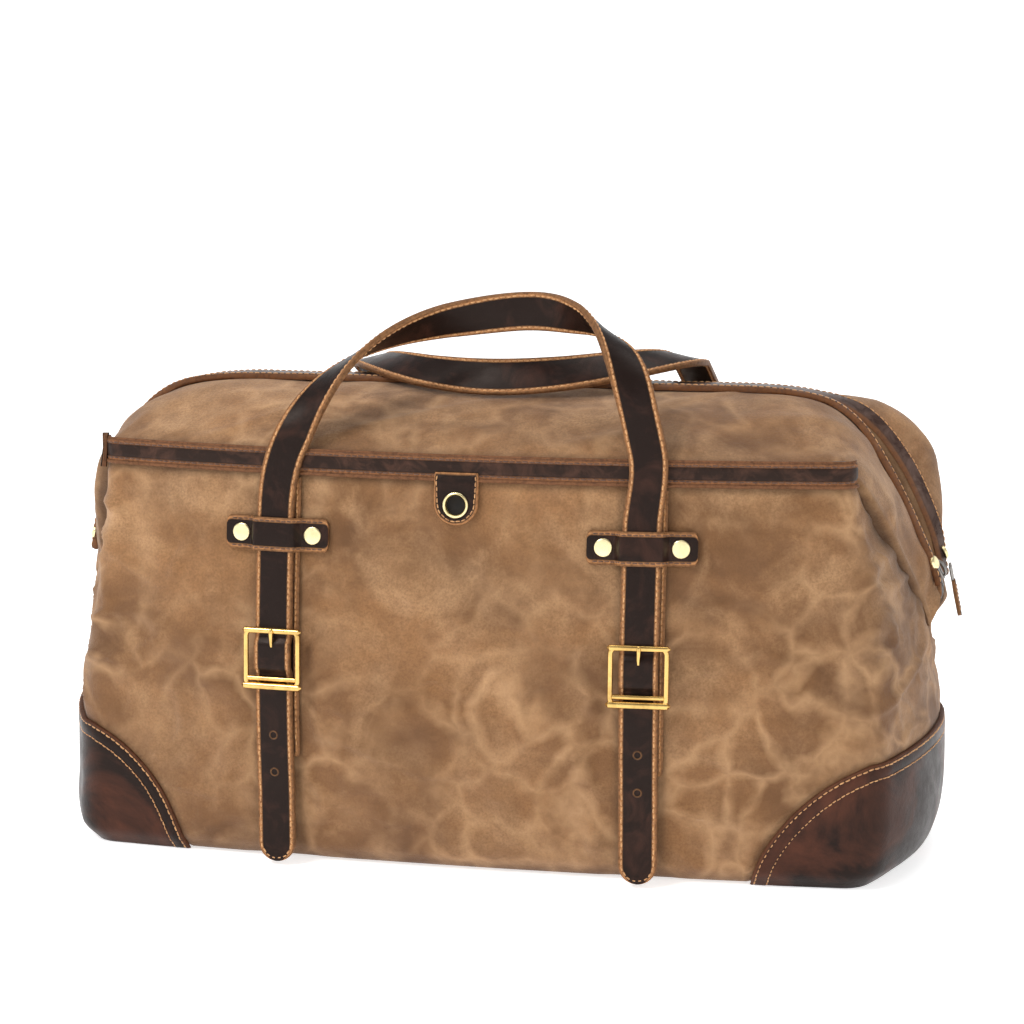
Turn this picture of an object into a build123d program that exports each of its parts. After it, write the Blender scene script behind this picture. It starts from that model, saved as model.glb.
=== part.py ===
"""Leather trimmed canvas duffel bag, zipped shut and stuffed, standing on its base.

X runs along the bag, -Y is the front, +Z is up, and the origin is on the ground
under the middle of the base. All sizes are millimetres.
"""
from build123d import *
import math
import os

# Stuffed body. Each level is a height, the half length and half depth at the corners,
# how far the end and the side swell out past those corners, and the corner radius.
LEVELS = [
    (2, 250, 98, 20, 12, 20),
    (14, 262, 108, 27, 14, 20),
    (50, 266, 112, 32, 16, 20),
    (100, 265, 111, 31, 20, 20),
    (160, 261, 106, 25, 24, 18),
    (215, 256, 100, 14, 25, 14),
    (270, 248, 95, 2, 24, 8),
]
CANVAS = 2.2
LINING = 1.2
BOARD = 4
GUARD_LEATHER = 2.2
FIT = 0.3

# Top: half of the ridge line on its underside, and the eave that each point falls to.
RIDGE = [(0, 305), (110, 305), (200, 304), (236, 290), (260, 257), (280, 217.5), (291, 196), (300, 178)]
EAVES = [(0, 116, 270.2), (118, 110.5, 270.2), (196, 100, 270.2), (243.5, 90, 270.2),
         (266, 73, 243), (280, 45, 206), (291, 22, 175), (296, 12, 158)]
TOP_THICK = 3.0
CHAIN_HALF = 2.4
TAPE_THICK = 1.0
BINDING_START = 5.5
BINDING_FRONT = 10
BINDING_BACK = 16
BINDING_THICK = 4.6

# Band round the top edge.
BAND_LOW = 262
BAND_HIGH = 278
BAND_THICK = 2.6
BAND_END_Y = 88

# Straps. Distances out from the canvas are measured along Y.
STRAP_WIDTH = 25.4
STRAP_THICK = 4.4
STRAP_OUT = 3.3
STRAP_X = 121
BACKING_OUT = 0.5
BACKING_THICK = 2.4
BACKING_LOW = 75
BACKING_HIGH = 258
HINGE_Z = 284
STRAP_TOP_FRONT = 278.6
STRAP_TOP_BACK = 280
STRAP_LOW = 124.5
TAIL_TOP = 118.6
TAIL_STRAIGHT = 50
TAIL_TIP = 3
HOLE_RADIUS = 2
HOLES = [90, 65]

# Keeper plates and their rivets.
KEEPER_LENGTH = 70
KEEPER_HEIGHT = 21
KEEPER_Z = 222
KEEPER_THICK = 2.5
RIVET_SPACING = 49.5
RIVET_RADIUS = 6
RIVET_HEIGHT = 1.8

# Conway buckles.
BUCKLE_WIDTH = 40
BUCKLE_LOW = 120.5
BUCKLE_HIGH = 161.5
BUCKLE_BAR = 4
BUCKLE_THICK = 3.4
BUCKLE_SLOT = 2.5
TONGUE_LENGTH = 11
TONGUE_WIDTH = 2.5

# Lock tab on the front band.
TAB_WIDTH = 29
TAB_LOW = 233
TAB_HIGH = 259.6
TAB_THICK = 3.4
TAB_OUT = 0.8
EYELET_Z = 246
EYELET_BORE = 6.5
EYELET_BARREL = 7.0
EYELET_FLANGE = 8.5
EYELET_LIP = 1.0

# End guards: the rounded front edge of the leather, in the XZ plane.
GUARD_FOOT = (183, -5)
GUARD_SHOULDER = (213, 56)
GUARD_CORNER = (264, 92)
GUARD_TOP = (330, 101)

# Handle sides: where the leg starts inward of the strap, its first tilt, the straight leg,
# the length of the turn, how late the turn comes, and the rise of the loop beyond it.
FRONT_LEFT = (6, 24, 5, 172, 0.9, 9)
FRONT_RIGHT = (-1, 14, 25, 108, 1.3, 9)
FRONT_LEAN = 10
REAR_LEFT = (12, 0, 38, 190, 1.1, 0)
REAR_RIGHT = (-4, 0, 84, 152, 0.65, 0)
REAR_LEAN = 25
REAR_START = 2.5
TURN_STEPS = 12

# Zip slider and its pull, measured back from the tip of the right wing.
SLIDER_LENGTH = 14
SLIDER_WIDTH = 9
SLIDER_HEIGHT = 8
SLIDER_BACK = 13
LINK_THICK = 1.6
LINK_OUT = 2.0
PULL_OUT = 1.6
PULL_LENGTH = 24
PULL_WIDTH = 10
PULL_THICK = 2.4
PULL_TILT = 11
STOP_HEIGHT = 1.0
END_TAB_OUT = 2.2
END_TAB_THICK = 2.4
WING_RIVET_RADIUS = 4.5

nodes = {}


# ---------------------------------------------------------------- body outline

def level_at(height):
    """The body's level at any height, by straight interpolation."""
    for low, high in zip(LEVELS, LEVELS[1:]):
        if height <= high[0] or high is LEVELS[-1]:
            share = (height - low[0]) / (high[0] - low[0])
            rest = [a + share * (b - a) for a, b in zip(low[1:], high[1:])]
            return (height, *rest)


def outline(level, grow=0.0):
    """Face of the swollen rounded rectangle at one level, grown sideways."""
    height, half_length, half_depth, end_swell, side_swell, radius = level
    x = half_length + grow
    y = half_depth + grow
    edges = [
        ThreePointArc((-x, -y), (0, -y - side_swell), (x, -y)),
        ThreePointArc((x, -y), (x + end_swell, 0), (x, y)),
        ThreePointArc((x, y), (0, y + side_swell), (-x, y)),
        ThreePointArc((-x, y), (-x - end_swell, 0), (-x, -y)),
    ]
    face = make_face(edges)
    face = fillet(face.vertices(), radius + grow)
    return Pos(0, 0, height) * face


def body_loft(levels, grow=0.0):
    return loft([outline(level, grow) for level in levels], ruled=True)


def side_radius(height):
    """Radius in plan of the swollen front or back at a height."""
    _, half_length, _, _, swell, _ = level_at(height)
    return (half_length ** 2 + swell ** 2) / (2 * swell)


def side_y(x, height, out=0.0):
    """Distance of the front or back canvas from the middle plane, plus out."""
    _, _, half_depth, _, swell, _ = level_at(height)
    radius = side_radius(height)
    return half_depth + swell - radius + math.sqrt(radius ** 2 - x ** 2) + out


def block(low, high):
    """Box between two corners."""
    size = [b - a for a, b in zip(low, high)]
    middle = [(a + b) / 2 for a, b in zip(low, high)]
    return Pos(*middle) * Box(*size)


# ---------------------------------------------------------------- canvas shell

def make_shell():
    """Canvas walls and floor, lining and base board. Returns the outer solid."""
    outer = body_loft(LEVELS)
    inner = body_loft(LEVELS, -CANVAS)
    under_top = front_strip(-3, 3, -TAPE_THICK - 1.2, 40)
    under_top += mirror(under_top, about=Plane.XZ)
    wall = outer - inner - under_top
    nodes["back_panel"] = wall & block((-400, 0, 0), (400, 300, 300))
    nodes["front_panel"] = mirror(nodes["back_panel"], about=Plane.XZ)
    floor = inner & block((-400, -300, 2), (400, 300, 2 + CANVAS))
    sagged = extrude(Pos(0, 0, -2) * outline(LEVELS[0], -4), amount=2)
    sagged &= block((-176, -300, 0), (176, 300, 2))
    nodes["bottom_panel"] = floor + sagged
    floor_top = 2 + CANVAS + FIT
    skin = -CANVAS - FIT
    lining = body_loft(LEVELS, skin) - body_loft(LEVELS, skin - LINING)
    nodes["lining"] = (lining & block((-400, -300, floor_top), (400, 300, 262))) - under_top
    board = body_loft(LEVELS[:2], skin - LINING - 1)
    nodes["base_board"] = board & block((-400, -300, floor_top), (400, 300, floor_top + BOARD))
    return outer


def make_guards(outer):
    """Leather caps over the lower corners, the ends and the edge of the base."""
    levels = [(0, *LEVELS[0][1:])] + LEVELS[1:5]
    cap = body_loft(levels, GUARD_LEATHER) - outer
    below = (GUARD_TOP[0], GUARD_FOOT[1])
    edge = [
        ThreePointArc(GUARD_FOOT, GUARD_SHOULDER, GUARD_CORNER),
        Line(GUARD_CORNER, GUARD_TOP),
        Line(GUARD_TOP, below),
        Line(below, GUARD_FOOT),
    ]
    region = extrude(Plane.XZ * make_face(edge), amount=200, both=True)
    nodes["end_guard_right"] = cap & region
    nodes["end_guard_left"] = mirror(nodes["end_guard_right"], about=Plane.YZ)


def make_bands():
    ends = [level_at(BAND_LOW), level_at(BAND_HIGH)]
    ring = body_loft(ends, FIT + BAND_THICK) - body_loft(ends, FIT)
    band = ring & block((-400, -300, 200), (400, -BAND_END_Y, 300))
    nodes["front_band"] = band
    nodes["back_band"] = mirror(band, about=Plane.XZ)


# ---------------------------------------------------------------- top and zip

def flip(v):
    return Vector(-v.X, v.Y, v.Z)


def right_frames():
    """Ridge point, direction to the front eave, its distance, outward normal and ridge line."""
    frames = []
    for i, ((x, z), eave) in enumerate(zip(RIDGE, EAVES)):
        before = RIDGE[max(i - 1, 0)]
        after = RIDGE[min(i + 1, len(RIDGE) - 1)]
        along = Vector(after[0] - before[0], 0, after[1] - before[1]).normalized()
        point = Vector(x, 0, z)
        fall = Vector(eave[0], -eave[1], eave[2]) - point
        down = fall.normalized()
        frames.append((point, down, fall.length, down.cross(along).normalized(), along))
    return frames


def ridge_frames():
    """The same from the left tip to the right tip."""
    right = right_frames()
    left = [(flip(p), flip(d), size, flip(n), flip(a) * -1) for p, d, size, n, a in right[1:]]
    return left[::-1] + right


def quad(points):
    return make_face(Polyline(*points, close=True))


def front_strip(start, beyond, low, high, end=None, trim=0):
    """Solid down the front slope, between two heights above it.

    It runs from start to end, or to a distance beyond the eave.
    """
    frames = ridge_frames()
    faces = []
    for point, down, size, up, _ in frames[trim:len(frames) - trim]:
        near = point + down * start
        far = point + down * (size + beyond if end is None else end)
        faces.append(quad([near + up * low, far + up * low, far + up * high, near + up * high]))
    return loft(faces, ruled=True)


def chain_strip(half, low, high):
    """Strip of flat faces along the ridge line, between two heights above it."""
    lower, upper = [], []
    for point, _, _, _, along in ridge_frames():
        up = Vector(-along.Z, 0, along.X)
        lower.append(point + up * low)
        upper.append(point + up * high)
    return extrude(quad(lower + upper[::-1]), amount=half, dir=(0, 1, 0), both=True)


def make_top():
    nodes["top_panel_front"] = front_strip(3, 0, 0, TOP_THICK)
    nodes["top_panel_back"] = mirror(nodes["top_panel_front"], about=Plane.XZ)
    tape_low = -TAPE_THICK - FIT
    nodes["zip_tape_front"] = front_strip(2.6, 0, tape_low, -FIT, end=13, trim=1)
    nodes["zip_tape_back"] = mirror(nodes["zip_tape_front"], about=Plane.XZ)
    nodes["zip_chain"] = chain_strip(CHAIN_HALF, -0.1, TOP_THICK)
    low = TOP_THICK + FIT
    high = low + BINDING_THICK
    narrow = BINDING_START + BINDING_FRONT
    wide = BINDING_START + BINDING_BACK
    nodes["zip_binding_front"] = front_strip(BINDING_START, 0, low, high, end=narrow, trim=1)
    broad = front_strip(BINDING_START, 0, low, high, end=wide, trim=1)
    nodes["zip_binding_back"] = mirror(broad, about=Plane.XZ)


def zip_place(back, up):
    """Point on the right slope, a distance back from its tip and above the ridge."""
    tip = Vector(RIDGE[-1][0], 0, RIDGE[-1][1])
    knee = Vector(RIDGE[4][0], 0, RIDGE[4][1])
    along = (tip - knee).normalized()
    normal = Vector(-along.Z, 0, along.X)
    return tip - along * back + normal * up, along, normal


def make_slider():
    """Slider near the right tip, and its pull, which leans out at its inner limit.

    That lean keeps the pull clear of the slope while the slider travels up it.
    """
    above = TOP_THICK + FIT
    spot, along, normal = zip_place(SLIDER_BACK, above)
    seat_plane = Plane(origin=spot, x_dir=along, z_dir=normal)
    rounded = fillet(Rectangle(SLIDER_LENGTH, SLIDER_WIDTH).vertices(), 2.5)
    body = extrude(seat_plane * rounded, amount=SLIDER_HEIGHT - 2)
    bridge = seat_plane * Pos(0, 0, SLIDER_HEIGHT - 1) * Box(SLIDER_LENGTH - 4, 2, 2)
    nodes["zip_slider"] = body + bridge
    hang, _, _ = zip_place(SLIDER_BACK, above + SLIDER_HEIGHT + 1.5)
    facing = Plane(origin=hang + Vector(LINK_OUT, 0, -4), x_dir=(0, 1, 0), z_dir=(1, 0, 0))
    ring = fillet(Rectangle(7, 11).vertices(), 3) - fillet(Rectangle(4, 8).vertices(), 1.5)
    pivot = hang + Vector(LINK_OUT + LINK_THICK / 2, 0, 0)
    swing = Axis(pivot, (0, -1, 0))
    nodes["zip_pull"] = extrude(facing * ring, amount=LINK_THICK).rotate(swing, PULL_TILT)
    tab_middle = Vector(hang.X + PULL_OUT, 0, hang.Z - 10.2 - PULL_LENGTH / 2)
    plate = Plane(origin=tab_middle, x_dir=(0, 1, 0), z_dir=(1, 0, 0))
    shape = fillet(Rectangle(PULL_WIDTH, PULL_LENGTH).vertices(), 3)
    nodes["zip_pull_tab"] = extrude(plate * shape, amount=PULL_THICK).rotate(swing, PULL_TILT)


def make_zip_ends():
    """Stops on the chain, leather tabs over the wing tips, and the binding rivets."""
    spot, along, normal = zip_place(2.5, TOP_THICK + FIT)
    stop_plane = Plane(origin=spot, x_dir=along, z_dir=normal)
    stop = stop_plane * Pos(0, 0, STOP_HEIGHT / 2) * Box(3, 4, STOP_HEIGHT)
    nodes["zip_stops"] = Compound(children=[stop, mirror(stop, about=Plane.YZ)])
    point, down, size, _, _ = right_frames()[-1]
    front = point + down * size
    back = Vector(front.X, -front.Y, front.Z)
    face = Plane(origin=point, x_dir=(0, 1, 0), z_dir=(back - point).cross(front - point))
    triangle = make_face(Polyline(point, front, back, close=True))
    step = face.z_dir * END_TAB_OUT
    tab = extrude(triangle.moved(Location(step)), amount=END_TAB_THICK, dir=face.z_dir)
    nodes["zip_end_tab_right"] = tab
    nodes["zip_end_tab_left"] = mirror(tab, about=Plane.YZ)
    point, down, _, up, _ = right_frames()[-3]
    centre = point + down * (BINDING_START + BINDING_FRONT / 2)
    centre += up * (TOP_THICK + 2 * FIT + BINDING_THICK)
    cap = extrude(Plane(origin=centre, z_dir=up) * Circle(WING_RIVET_RADIUS), amount=1.5)
    caps = [cap, mirror(cap, about=Plane.XZ)]
    caps += [mirror(one, about=Plane.YZ) for one in caps]
    nodes["wing_rivets"] = Compound(children=caps)


# ---------------------------------------------------------------- straps

def seat(shape, x, side):
    """Turn a piece drawn at x = 0 onto the swollen front (-1) or back (1) at x."""
    pivot = side_y(STRAP_X, KEEPER_Z)
    turn = math.degrees(math.asin(x / side_radius(KEEPER_Z)))
    placed = Pos(x, -pivot, 0) * Rot(0, 0, turn) * Pos(0, pivot, 0) * shape
    return placed if side < 0 else mirror(placed, about=Plane.XZ)


def strap_run(low, high, out, thick, straight_below=0):
    """Strap lying on the canvas between two heights, hanging straight at its foot."""
    heights = [low] + [level[0] for level in LEVELS if low < level[0] < high] + [high]
    inner = [(-side_y(STRAP_X, max(z, straight_below), out), z) for z in heights]
    outer = [(y - thick, z) for y, z in reversed(inner)]
    profile = make_face(Polyline(*inner, *outer, close=True))
    drawn = Plane(origin=(-STRAP_WIDTH / 2, 0, 0), x_dir=(0, 1, 0), z_dir=(1, 0, 0)) * profile
    return extrude(drawn, amount=STRAP_WIDTH)


def make_strap(x, side, tag):
    """Backing strip, upper strap, and the tail with its rounded tip and holes."""
    strap_top = STRAP_TOP_FRONT if side < 0 else STRAP_TOP_BACK
    backing = strap_run(BACKING_LOW, BACKING_HIGH, BACKING_OUT, BACKING_THICK)
    upper = strap_run(STRAP_LOW, strap_top, STRAP_OUT, STRAP_THICK)
    tail = strap_run(TAIL_TIP, TAIL_TOP, STRAP_OUT, STRAP_THICK, TAIL_STRAIGHT)
    half = STRAP_WIDTH / 2
    face = Rectangle(STRAP_WIDTH, TAIL_TOP).moved(Location((0, TAIL_TOP / 2 + TAIL_TIP + half)))
    face += Circle(half).moved(Location((0, TAIL_TIP + half)))
    for height in HOLES:
        face -= Circle(HOLE_RADIUS).moved(Location((0, height)))
    tail &= extrude(Plane.XZ * face, amount=200)
    nodes[f"strap_backing_{tag}"] = seat(backing, x, side)
    nodes[f"strap_upper_{tag}"] = seat(upper, x, side)
    nodes[f"strap_tail_{tag}"] = seat(tail, x, side)


def strap_plane(height, out):
    """Plane that lies along the strap at a height and faces out, drawn at x = 0."""
    below = side_y(STRAP_X, height - 10)
    above = side_y(STRAP_X, height + 10)
    lean = math.atan2(below - above, 20)
    origin = (0, -side_y(STRAP_X, height, out), height)
    return Plane(origin=origin, x_dir=(1, 0, 0), z_dir=(0, -math.cos(lean), math.sin(lean)))


def make_keeper(x, side, tag):
    """Bridge shaped leather plate over the strap. Returns its two rivet caps."""
    half = KEEPER_LENGTH / 2
    foot = STRAP_WIDTH / 2 + 1
    low = FIT + KEEPER_THICK
    step = STRAP_OUT + STRAP_THICK + FIT
    top = step + KEEPER_THICK
    right = [(foot, step), (foot + 2, FIT), (half, FIT), (half, low), (foot + 4, low), (foot + 1, top)]
    left = [(-a, b) for a, b in reversed(right)]
    face = strap_plane(KEEPER_Z, 0)
    foot_plane = Plane(origin=face.origin - face.y_dir * (KEEPER_HEIGHT / 2),
                       x_dir=face.x_dir * -1, z_dir=face.y_dir)
    plate = extrude(foot_plane * make_face(Polyline(*right, *left, close=True)), amount=KEEPER_HEIGHT)
    nodes[f"keeper_plate_{tag}"] = seat(plate, x, side)
    caps = []
    for hand in (-1, 1):
        spot = face.origin + face.x_dir * (hand * RIVET_SPACING / 2) + face.z_dir * low
        cap = extrude(Plane(origin=spot, z_dir=face.z_dir) * Circle(RIVET_RADIUS), amount=RIVET_HEIGHT)
        caps.append(seat(cap, x, side))
    return caps


def make_buckle(x, side, tag):
    """Conway frame with a double lower bar, and its short fixed tongue."""
    middle = (BUCKLE_LOW + BUCKLE_HIGH) / 2
    face = strap_plane(middle, STRAP_OUT + STRAP_THICK + BACKING_OUT)
    inside = BUCKLE_WIDTH - 2 * BUCKLE_BAR
    slot_middle = BUCKLE_LOW + BUCKLE_BAR + BUCKLE_SLOT / 2
    window_low = slot_middle + BUCKLE_SLOT / 2 + BUCKLE_BAR
    window_high = BUCKLE_HIGH - BUCKLE_BAR
    window = fillet(Rectangle(inside, window_high - window_low).vertices(), 2)
    ring = fillet(Rectangle(BUCKLE_WIDTH, BUCKLE_HIGH - BUCKLE_LOW).vertices(), 4)
    ring -= Pos(0, slot_middle - middle) * Rectangle(inside, BUCKLE_SLOT)
    ring -= Pos(0, (window_low + window_high) / 2 - middle) * window
    tongue = Pos(0, window_high - TONGUE_LENGTH / 2 - middle) * Rectangle(TONGUE_WIDTH, TONGUE_LENGTH)
    nodes[f"buckle_frame_{tag}"] = seat(extrude(face * ring, amount=BUCKLE_THICK), x, side)
    nodes[f"buckle_tongue_{tag}"] = seat(extrude(face * tongue, amount=TONGUE_WIDTH), x, side)


def make_strap_sets():
    for side, depth in ((-1, "front"), (1, "back")):
        rivets = []
        for x, wing in ((-STRAP_X, "left"), (STRAP_X, "right")):
            tag = f"{depth}_{wing}"
            make_strap(x, side, tag)
            make_buckle(x, side, tag)
            rivets += make_keeper(x, side, tag)
        nodes[f"keeper_rivets_{depth}"] = Compound(children=rivets)


# ---------------------------------------------------------------- lock tab

def make_lock_tab():
    """U shaped tab that hangs under the front band, with its flanged eyelet."""
    lean = math.atan2(side_y(0, TAB_LOW) - side_y(0, BAND_LOW), BAND_LOW - TAB_LOW)
    origin = (0, -side_y(0, EYELET_Z, TAB_OUT), EYELET_Z)
    face = Plane(origin=origin, x_dir=(1, 0, 0), z_dir=(0, -math.cos(lean), math.sin(lean)))
    low = (TAB_LOW - EYELET_Z) / math.cos(lean)
    high = (TAB_HIGH - EYELET_Z) / math.cos(lean)
    half = TAB_WIDTH / 2
    knee = low + half - 2
    outer = [
        Line((-half, high), (-half, knee)),
        ThreePointArc((-half, knee), (0, low), (half, knee)),
        Line((half, knee), (half, high)),
        Line((half, high), (-half, high)),
    ]
    nodes["lock_tab"] = extrude(face * (make_face(outer) - Circle(EYELET_BARREL)), amount=TAB_THICK)
    barrel = extrude(face * (Circle(EYELET_BARREL) - Circle(EYELET_BORE)), amount=TAB_THICK)
    lip = face * Pos(0, 0, TAB_THICK) * (Circle(EYELET_FLANGE) - Circle(EYELET_BORE))
    nodes["lock_eyelet"] = barrel + extrude(lip, amount=EYELET_LIP)


# ---------------------------------------------------------------- handles

def handle_side(start, travel, width, spin, angle, side, lean):
    """Stations of one side: a straight leg, then a turn of the whole strap about spin."""
    _, _, leg, turn, late, _ = side
    spin_axis = Axis((0, 0, 0), spin)
    lean_axis = Axis((0, 0, 0), (1, 0, 0))
    point = Vector(start)
    stations = [(point, travel.rotate(lean_axis, lean), width.rotate(lean_axis, lean))]
    point = point + travel.rotate(lean_axis, lean) * leg
    for i in range(TURN_STEPS + 1):
        swing = angle * (i / TURN_STEPS) ** late
        ahead = travel.rotate(spin_axis, swing).rotate(lean_axis, lean)
        across = width.rotate(spin_axis, swing).rotate(lean_axis, lean)
        stations.append((point, ahead, across))
        half_way = angle * ((i + 0.5) / TURN_STEPS) ** late
        ahead = travel.rotate(spin_axis, half_way).rotate(lean_axis, lean)
        point = point + ahead * (turn / TURN_STEPS)
    return stations


def handle_loop(left, right):
    """Strap through the left stations and the mirrored right ones, drawn together."""
    gap = (flip(right[-1][0]) - left[-1][0]) / 2
    gap = Vector(0, gap.Y, gap.Z)
    count = len(left) - 1
    left = [(p + gap * (i / count) ** 2, t, w) for i, (p, t, w) in enumerate(left)]
    right = [(p - gap * (i / count) ** 2, t, w) for i, (p, t, w) in enumerate(right)]
    stations = left + [(flip(p), flip(t) * -1, flip(w)) for p, t, w in reversed(right)]
    faces = [Plane(origin=p, x_dir=w, z_dir=t) * Rectangle(STRAP_WIDTH, STRAP_THICK)
             for p, t, w in stations]
    return loft(faces, ruled=True)


def hinge_point(side):
    """Hinge of a handle, on the outer face of its straps."""
    return Vector(0, side * side_y(STRAP_X, HINGE_Z, STRAP_OUT + STRAP_THICK), HINGE_Z)


def make_front_handle():
    """Stands up, with the loop turned over so that its inner face shows in front."""
    sides = []
    for side in (FRONT_LEFT, FRONT_RIGHT):
        inward, tilt, _, _, _, rise = side
        tilt = math.radians(tilt)
        rise = math.radians(rise)
        start = hinge_point(-1) + Vector(inward - STRAP_X, STRAP_THICK / 2, 0.6)
        travel = Vector(math.sin(tilt), 0, math.cos(tilt))
        width = Vector(-math.cos(tilt), 0, math.sin(tilt))
        spin = (travel + Vector(math.cos(rise), 0, math.sin(rise))) * -1
        sides.append(handle_side(start, travel, width, spin, 180, side, -FRONT_LEAN))
    nodes["handle_front"] = handle_loop(*sides)


def make_rear_handle():
    """Lies forward over the ridge and ends on edge above the front slope."""
    sides = []
    lean_axis = Axis((0, 0, 0), (1, 0, 0))
    for side in (REAR_LEFT, REAR_RIGHT):
        offset = Vector(0, -REAR_START, -STRAP_THICK / 2).rotate(lean_axis, -REAR_LEAN)
        start = hinge_point(1) + offset + Vector(side[0] - STRAP_X, 0, 0)
        travel = Vector(0, -1, 0)
        width = Vector(1, 0, 0)
        sides.append(handle_side(start, travel, width, Vector(1, -1, 1), 120, side, -REAR_LEAN))
    nodes["handle_back"] = handle_loop(*sides)


def main():
    outer = make_shell()
    make_guards(outer)
    make_bands()
    make_top()
    make_slider()
    make_zip_ends()
    make_strap_sets()
    make_lock_tab()
    make_front_handle()
    make_rear_handle()
    os.makedirs("parts", exist_ok=True)
    for name, shape in nodes.items():
        export_step(shape, f"parts/{name}.step")


main()
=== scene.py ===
"""Canvas and leather duffel bag: the looks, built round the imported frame.

Shapes are worked out in millimetres in the frame's axes and written to Blender in metres.
X runs along the bag, -Y is the front and +Z is up.
"""
import math

import bmesh
import bpy
from mathutils import Matrix, Vector, noise


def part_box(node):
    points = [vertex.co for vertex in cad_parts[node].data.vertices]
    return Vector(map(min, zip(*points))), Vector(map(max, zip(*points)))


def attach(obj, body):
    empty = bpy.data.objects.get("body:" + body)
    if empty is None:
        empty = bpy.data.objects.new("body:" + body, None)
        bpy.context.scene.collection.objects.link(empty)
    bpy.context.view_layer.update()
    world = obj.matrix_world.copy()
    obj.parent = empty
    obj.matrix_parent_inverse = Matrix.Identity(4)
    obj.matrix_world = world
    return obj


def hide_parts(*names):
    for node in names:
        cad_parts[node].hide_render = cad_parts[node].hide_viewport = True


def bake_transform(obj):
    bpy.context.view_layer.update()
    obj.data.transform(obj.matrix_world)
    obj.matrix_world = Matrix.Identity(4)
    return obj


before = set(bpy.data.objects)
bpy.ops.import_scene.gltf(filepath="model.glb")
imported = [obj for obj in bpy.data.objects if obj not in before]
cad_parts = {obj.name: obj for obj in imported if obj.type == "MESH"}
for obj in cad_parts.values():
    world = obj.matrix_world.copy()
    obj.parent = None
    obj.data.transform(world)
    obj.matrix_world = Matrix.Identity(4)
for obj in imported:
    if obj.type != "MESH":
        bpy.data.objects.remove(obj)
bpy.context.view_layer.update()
MM = 0.001

# Stuffed body: height, half length, half depth, end swell, side swell, corner radius.
LEVELS = [
    (2, 257, 102, 24, 12, 20),
    (14, 265, 109, 29, 14, 22),
    (50, 266, 112, 32, 16, 24),
    (100, 265, 111, 31, 20, 24),
    (160, 261, 106, 25, 24, 21),
    (215, 256, 100, 14, 25, 15),
    (270, 248, 95, 2, 24, 8),
]
END_SHIFT = 7
# Half of the ridge and the eave that each ridge point falls to, right wing then left wing.
RIDGE_RIGHT = [(0, 305), (110, 305), (200, 304), (236, 290), (260, 257), (280, 217.5), (291, 196), (300, 178)]
RIDGE_LEFT = [(0, 305), (110, 305), (196, 303), (234, 288), (257, 257), (273, 217.5), (279, 196), (283, 178)]
EAVES_RIGHT = [(0, 116, 275), (118, 112, 275), (196, 102, 274.5), (243.5, 90, 271),
               (266, 73, 243), (280, 45, 206), (291, 22, 175), (296, 12, 158)]
EAVES_LEFT = [(0, 116, 275), (118, 112, 275), (196, 102, 274.5), (243.5, 90, 271),
              (262, 73, 243), (271, 45, 206), (277, 22, 175), (280, 12, 158)]
TOP_THICK = 2.6
STRAP_X = 121
STRAP_HALF = 12.7
STRAP_THICK = 4.4
STRAP_MID = 5.5
STITCH_IN = 2.3
BAND_LOW, BAND_HIGH = 262, 278
KEEPER_Z = 222
BUCKLE_Z = (120.5, 161.5)
TAIL_TIP_Z, TAIL_TURN_Z, HANG_Z = 3.0, 119.0, 52.0   # tail's tip, its hinge, and where it leaves the canvas
CANVAS_TOP = 276.0


# ---------------------------------------------------------------- small helpers

def ease(t):
    t = min(max(t, 0.0), 1.0)
    return t * t * (3 - 2 * t)


def between(a, b, t):
    return a + (b - a) * t


def bump(t, low, high, soft):
    """1 between low and high, falling to 0 over soft on both sides."""
    return ease((t - low + soft) / soft) * ease((high + soft - t) / soft)


def hermite(a, b, ta, tb, t):
    t2, t3 = t * t, t * t * t
    return a * (2 * t3 - 3 * t2 + 1) + ta * (t3 - 2 * t2 + t) + b * (3 * t2 - 2 * t3) + tb * (t3 - t2)


def table_at(table, x):
    """Smooth curve through the rows of a table, by its first column."""
    rows = table
    x = min(max(x, rows[0][0]), rows[-1][0])
    i = 0
    while i < len(rows) - 2 and x > rows[i + 1][0]:
        i += 1
    a, b = rows[i], rows[i + 1]
    before, after = rows[max(i - 1, 0)], rows[min(i + 2, len(rows) - 1)]
    gap = b[0] - a[0]
    t = (x - a[0]) / gap
    out = []
    for k in range(1, len(a)):
        ta = (b[k] - before[k]) / (b[0] - before[0]) * gap
        tb = (after[k] - a[k]) / (after[0] - a[0]) * gap
        out.append(hermite(a[k], b[k], ta, tb, t))
    return out


def curve_at(points, t):
    """Catmull-Rom point on a list of vectors, t counted in points."""
    i = min(int(t), len(points) - 2)
    f = t - i
    p0, p1 = points[max(i - 1, 0)], points[i]
    p2, p3 = points[i + 1], points[min(i + 2, len(points) - 1)]
    return hermite(p1, p2, (p2 - p0) / 2, (p3 - p1) / 2, f)


def wobble(p, scale, seed=0.0):
    return noise.noise(Vector((p[0] / scale + seed, p[1] / scale - seed, p[2] / scale + 2 * seed)))


# ---------------------------------------------------------------- body surface

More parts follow.
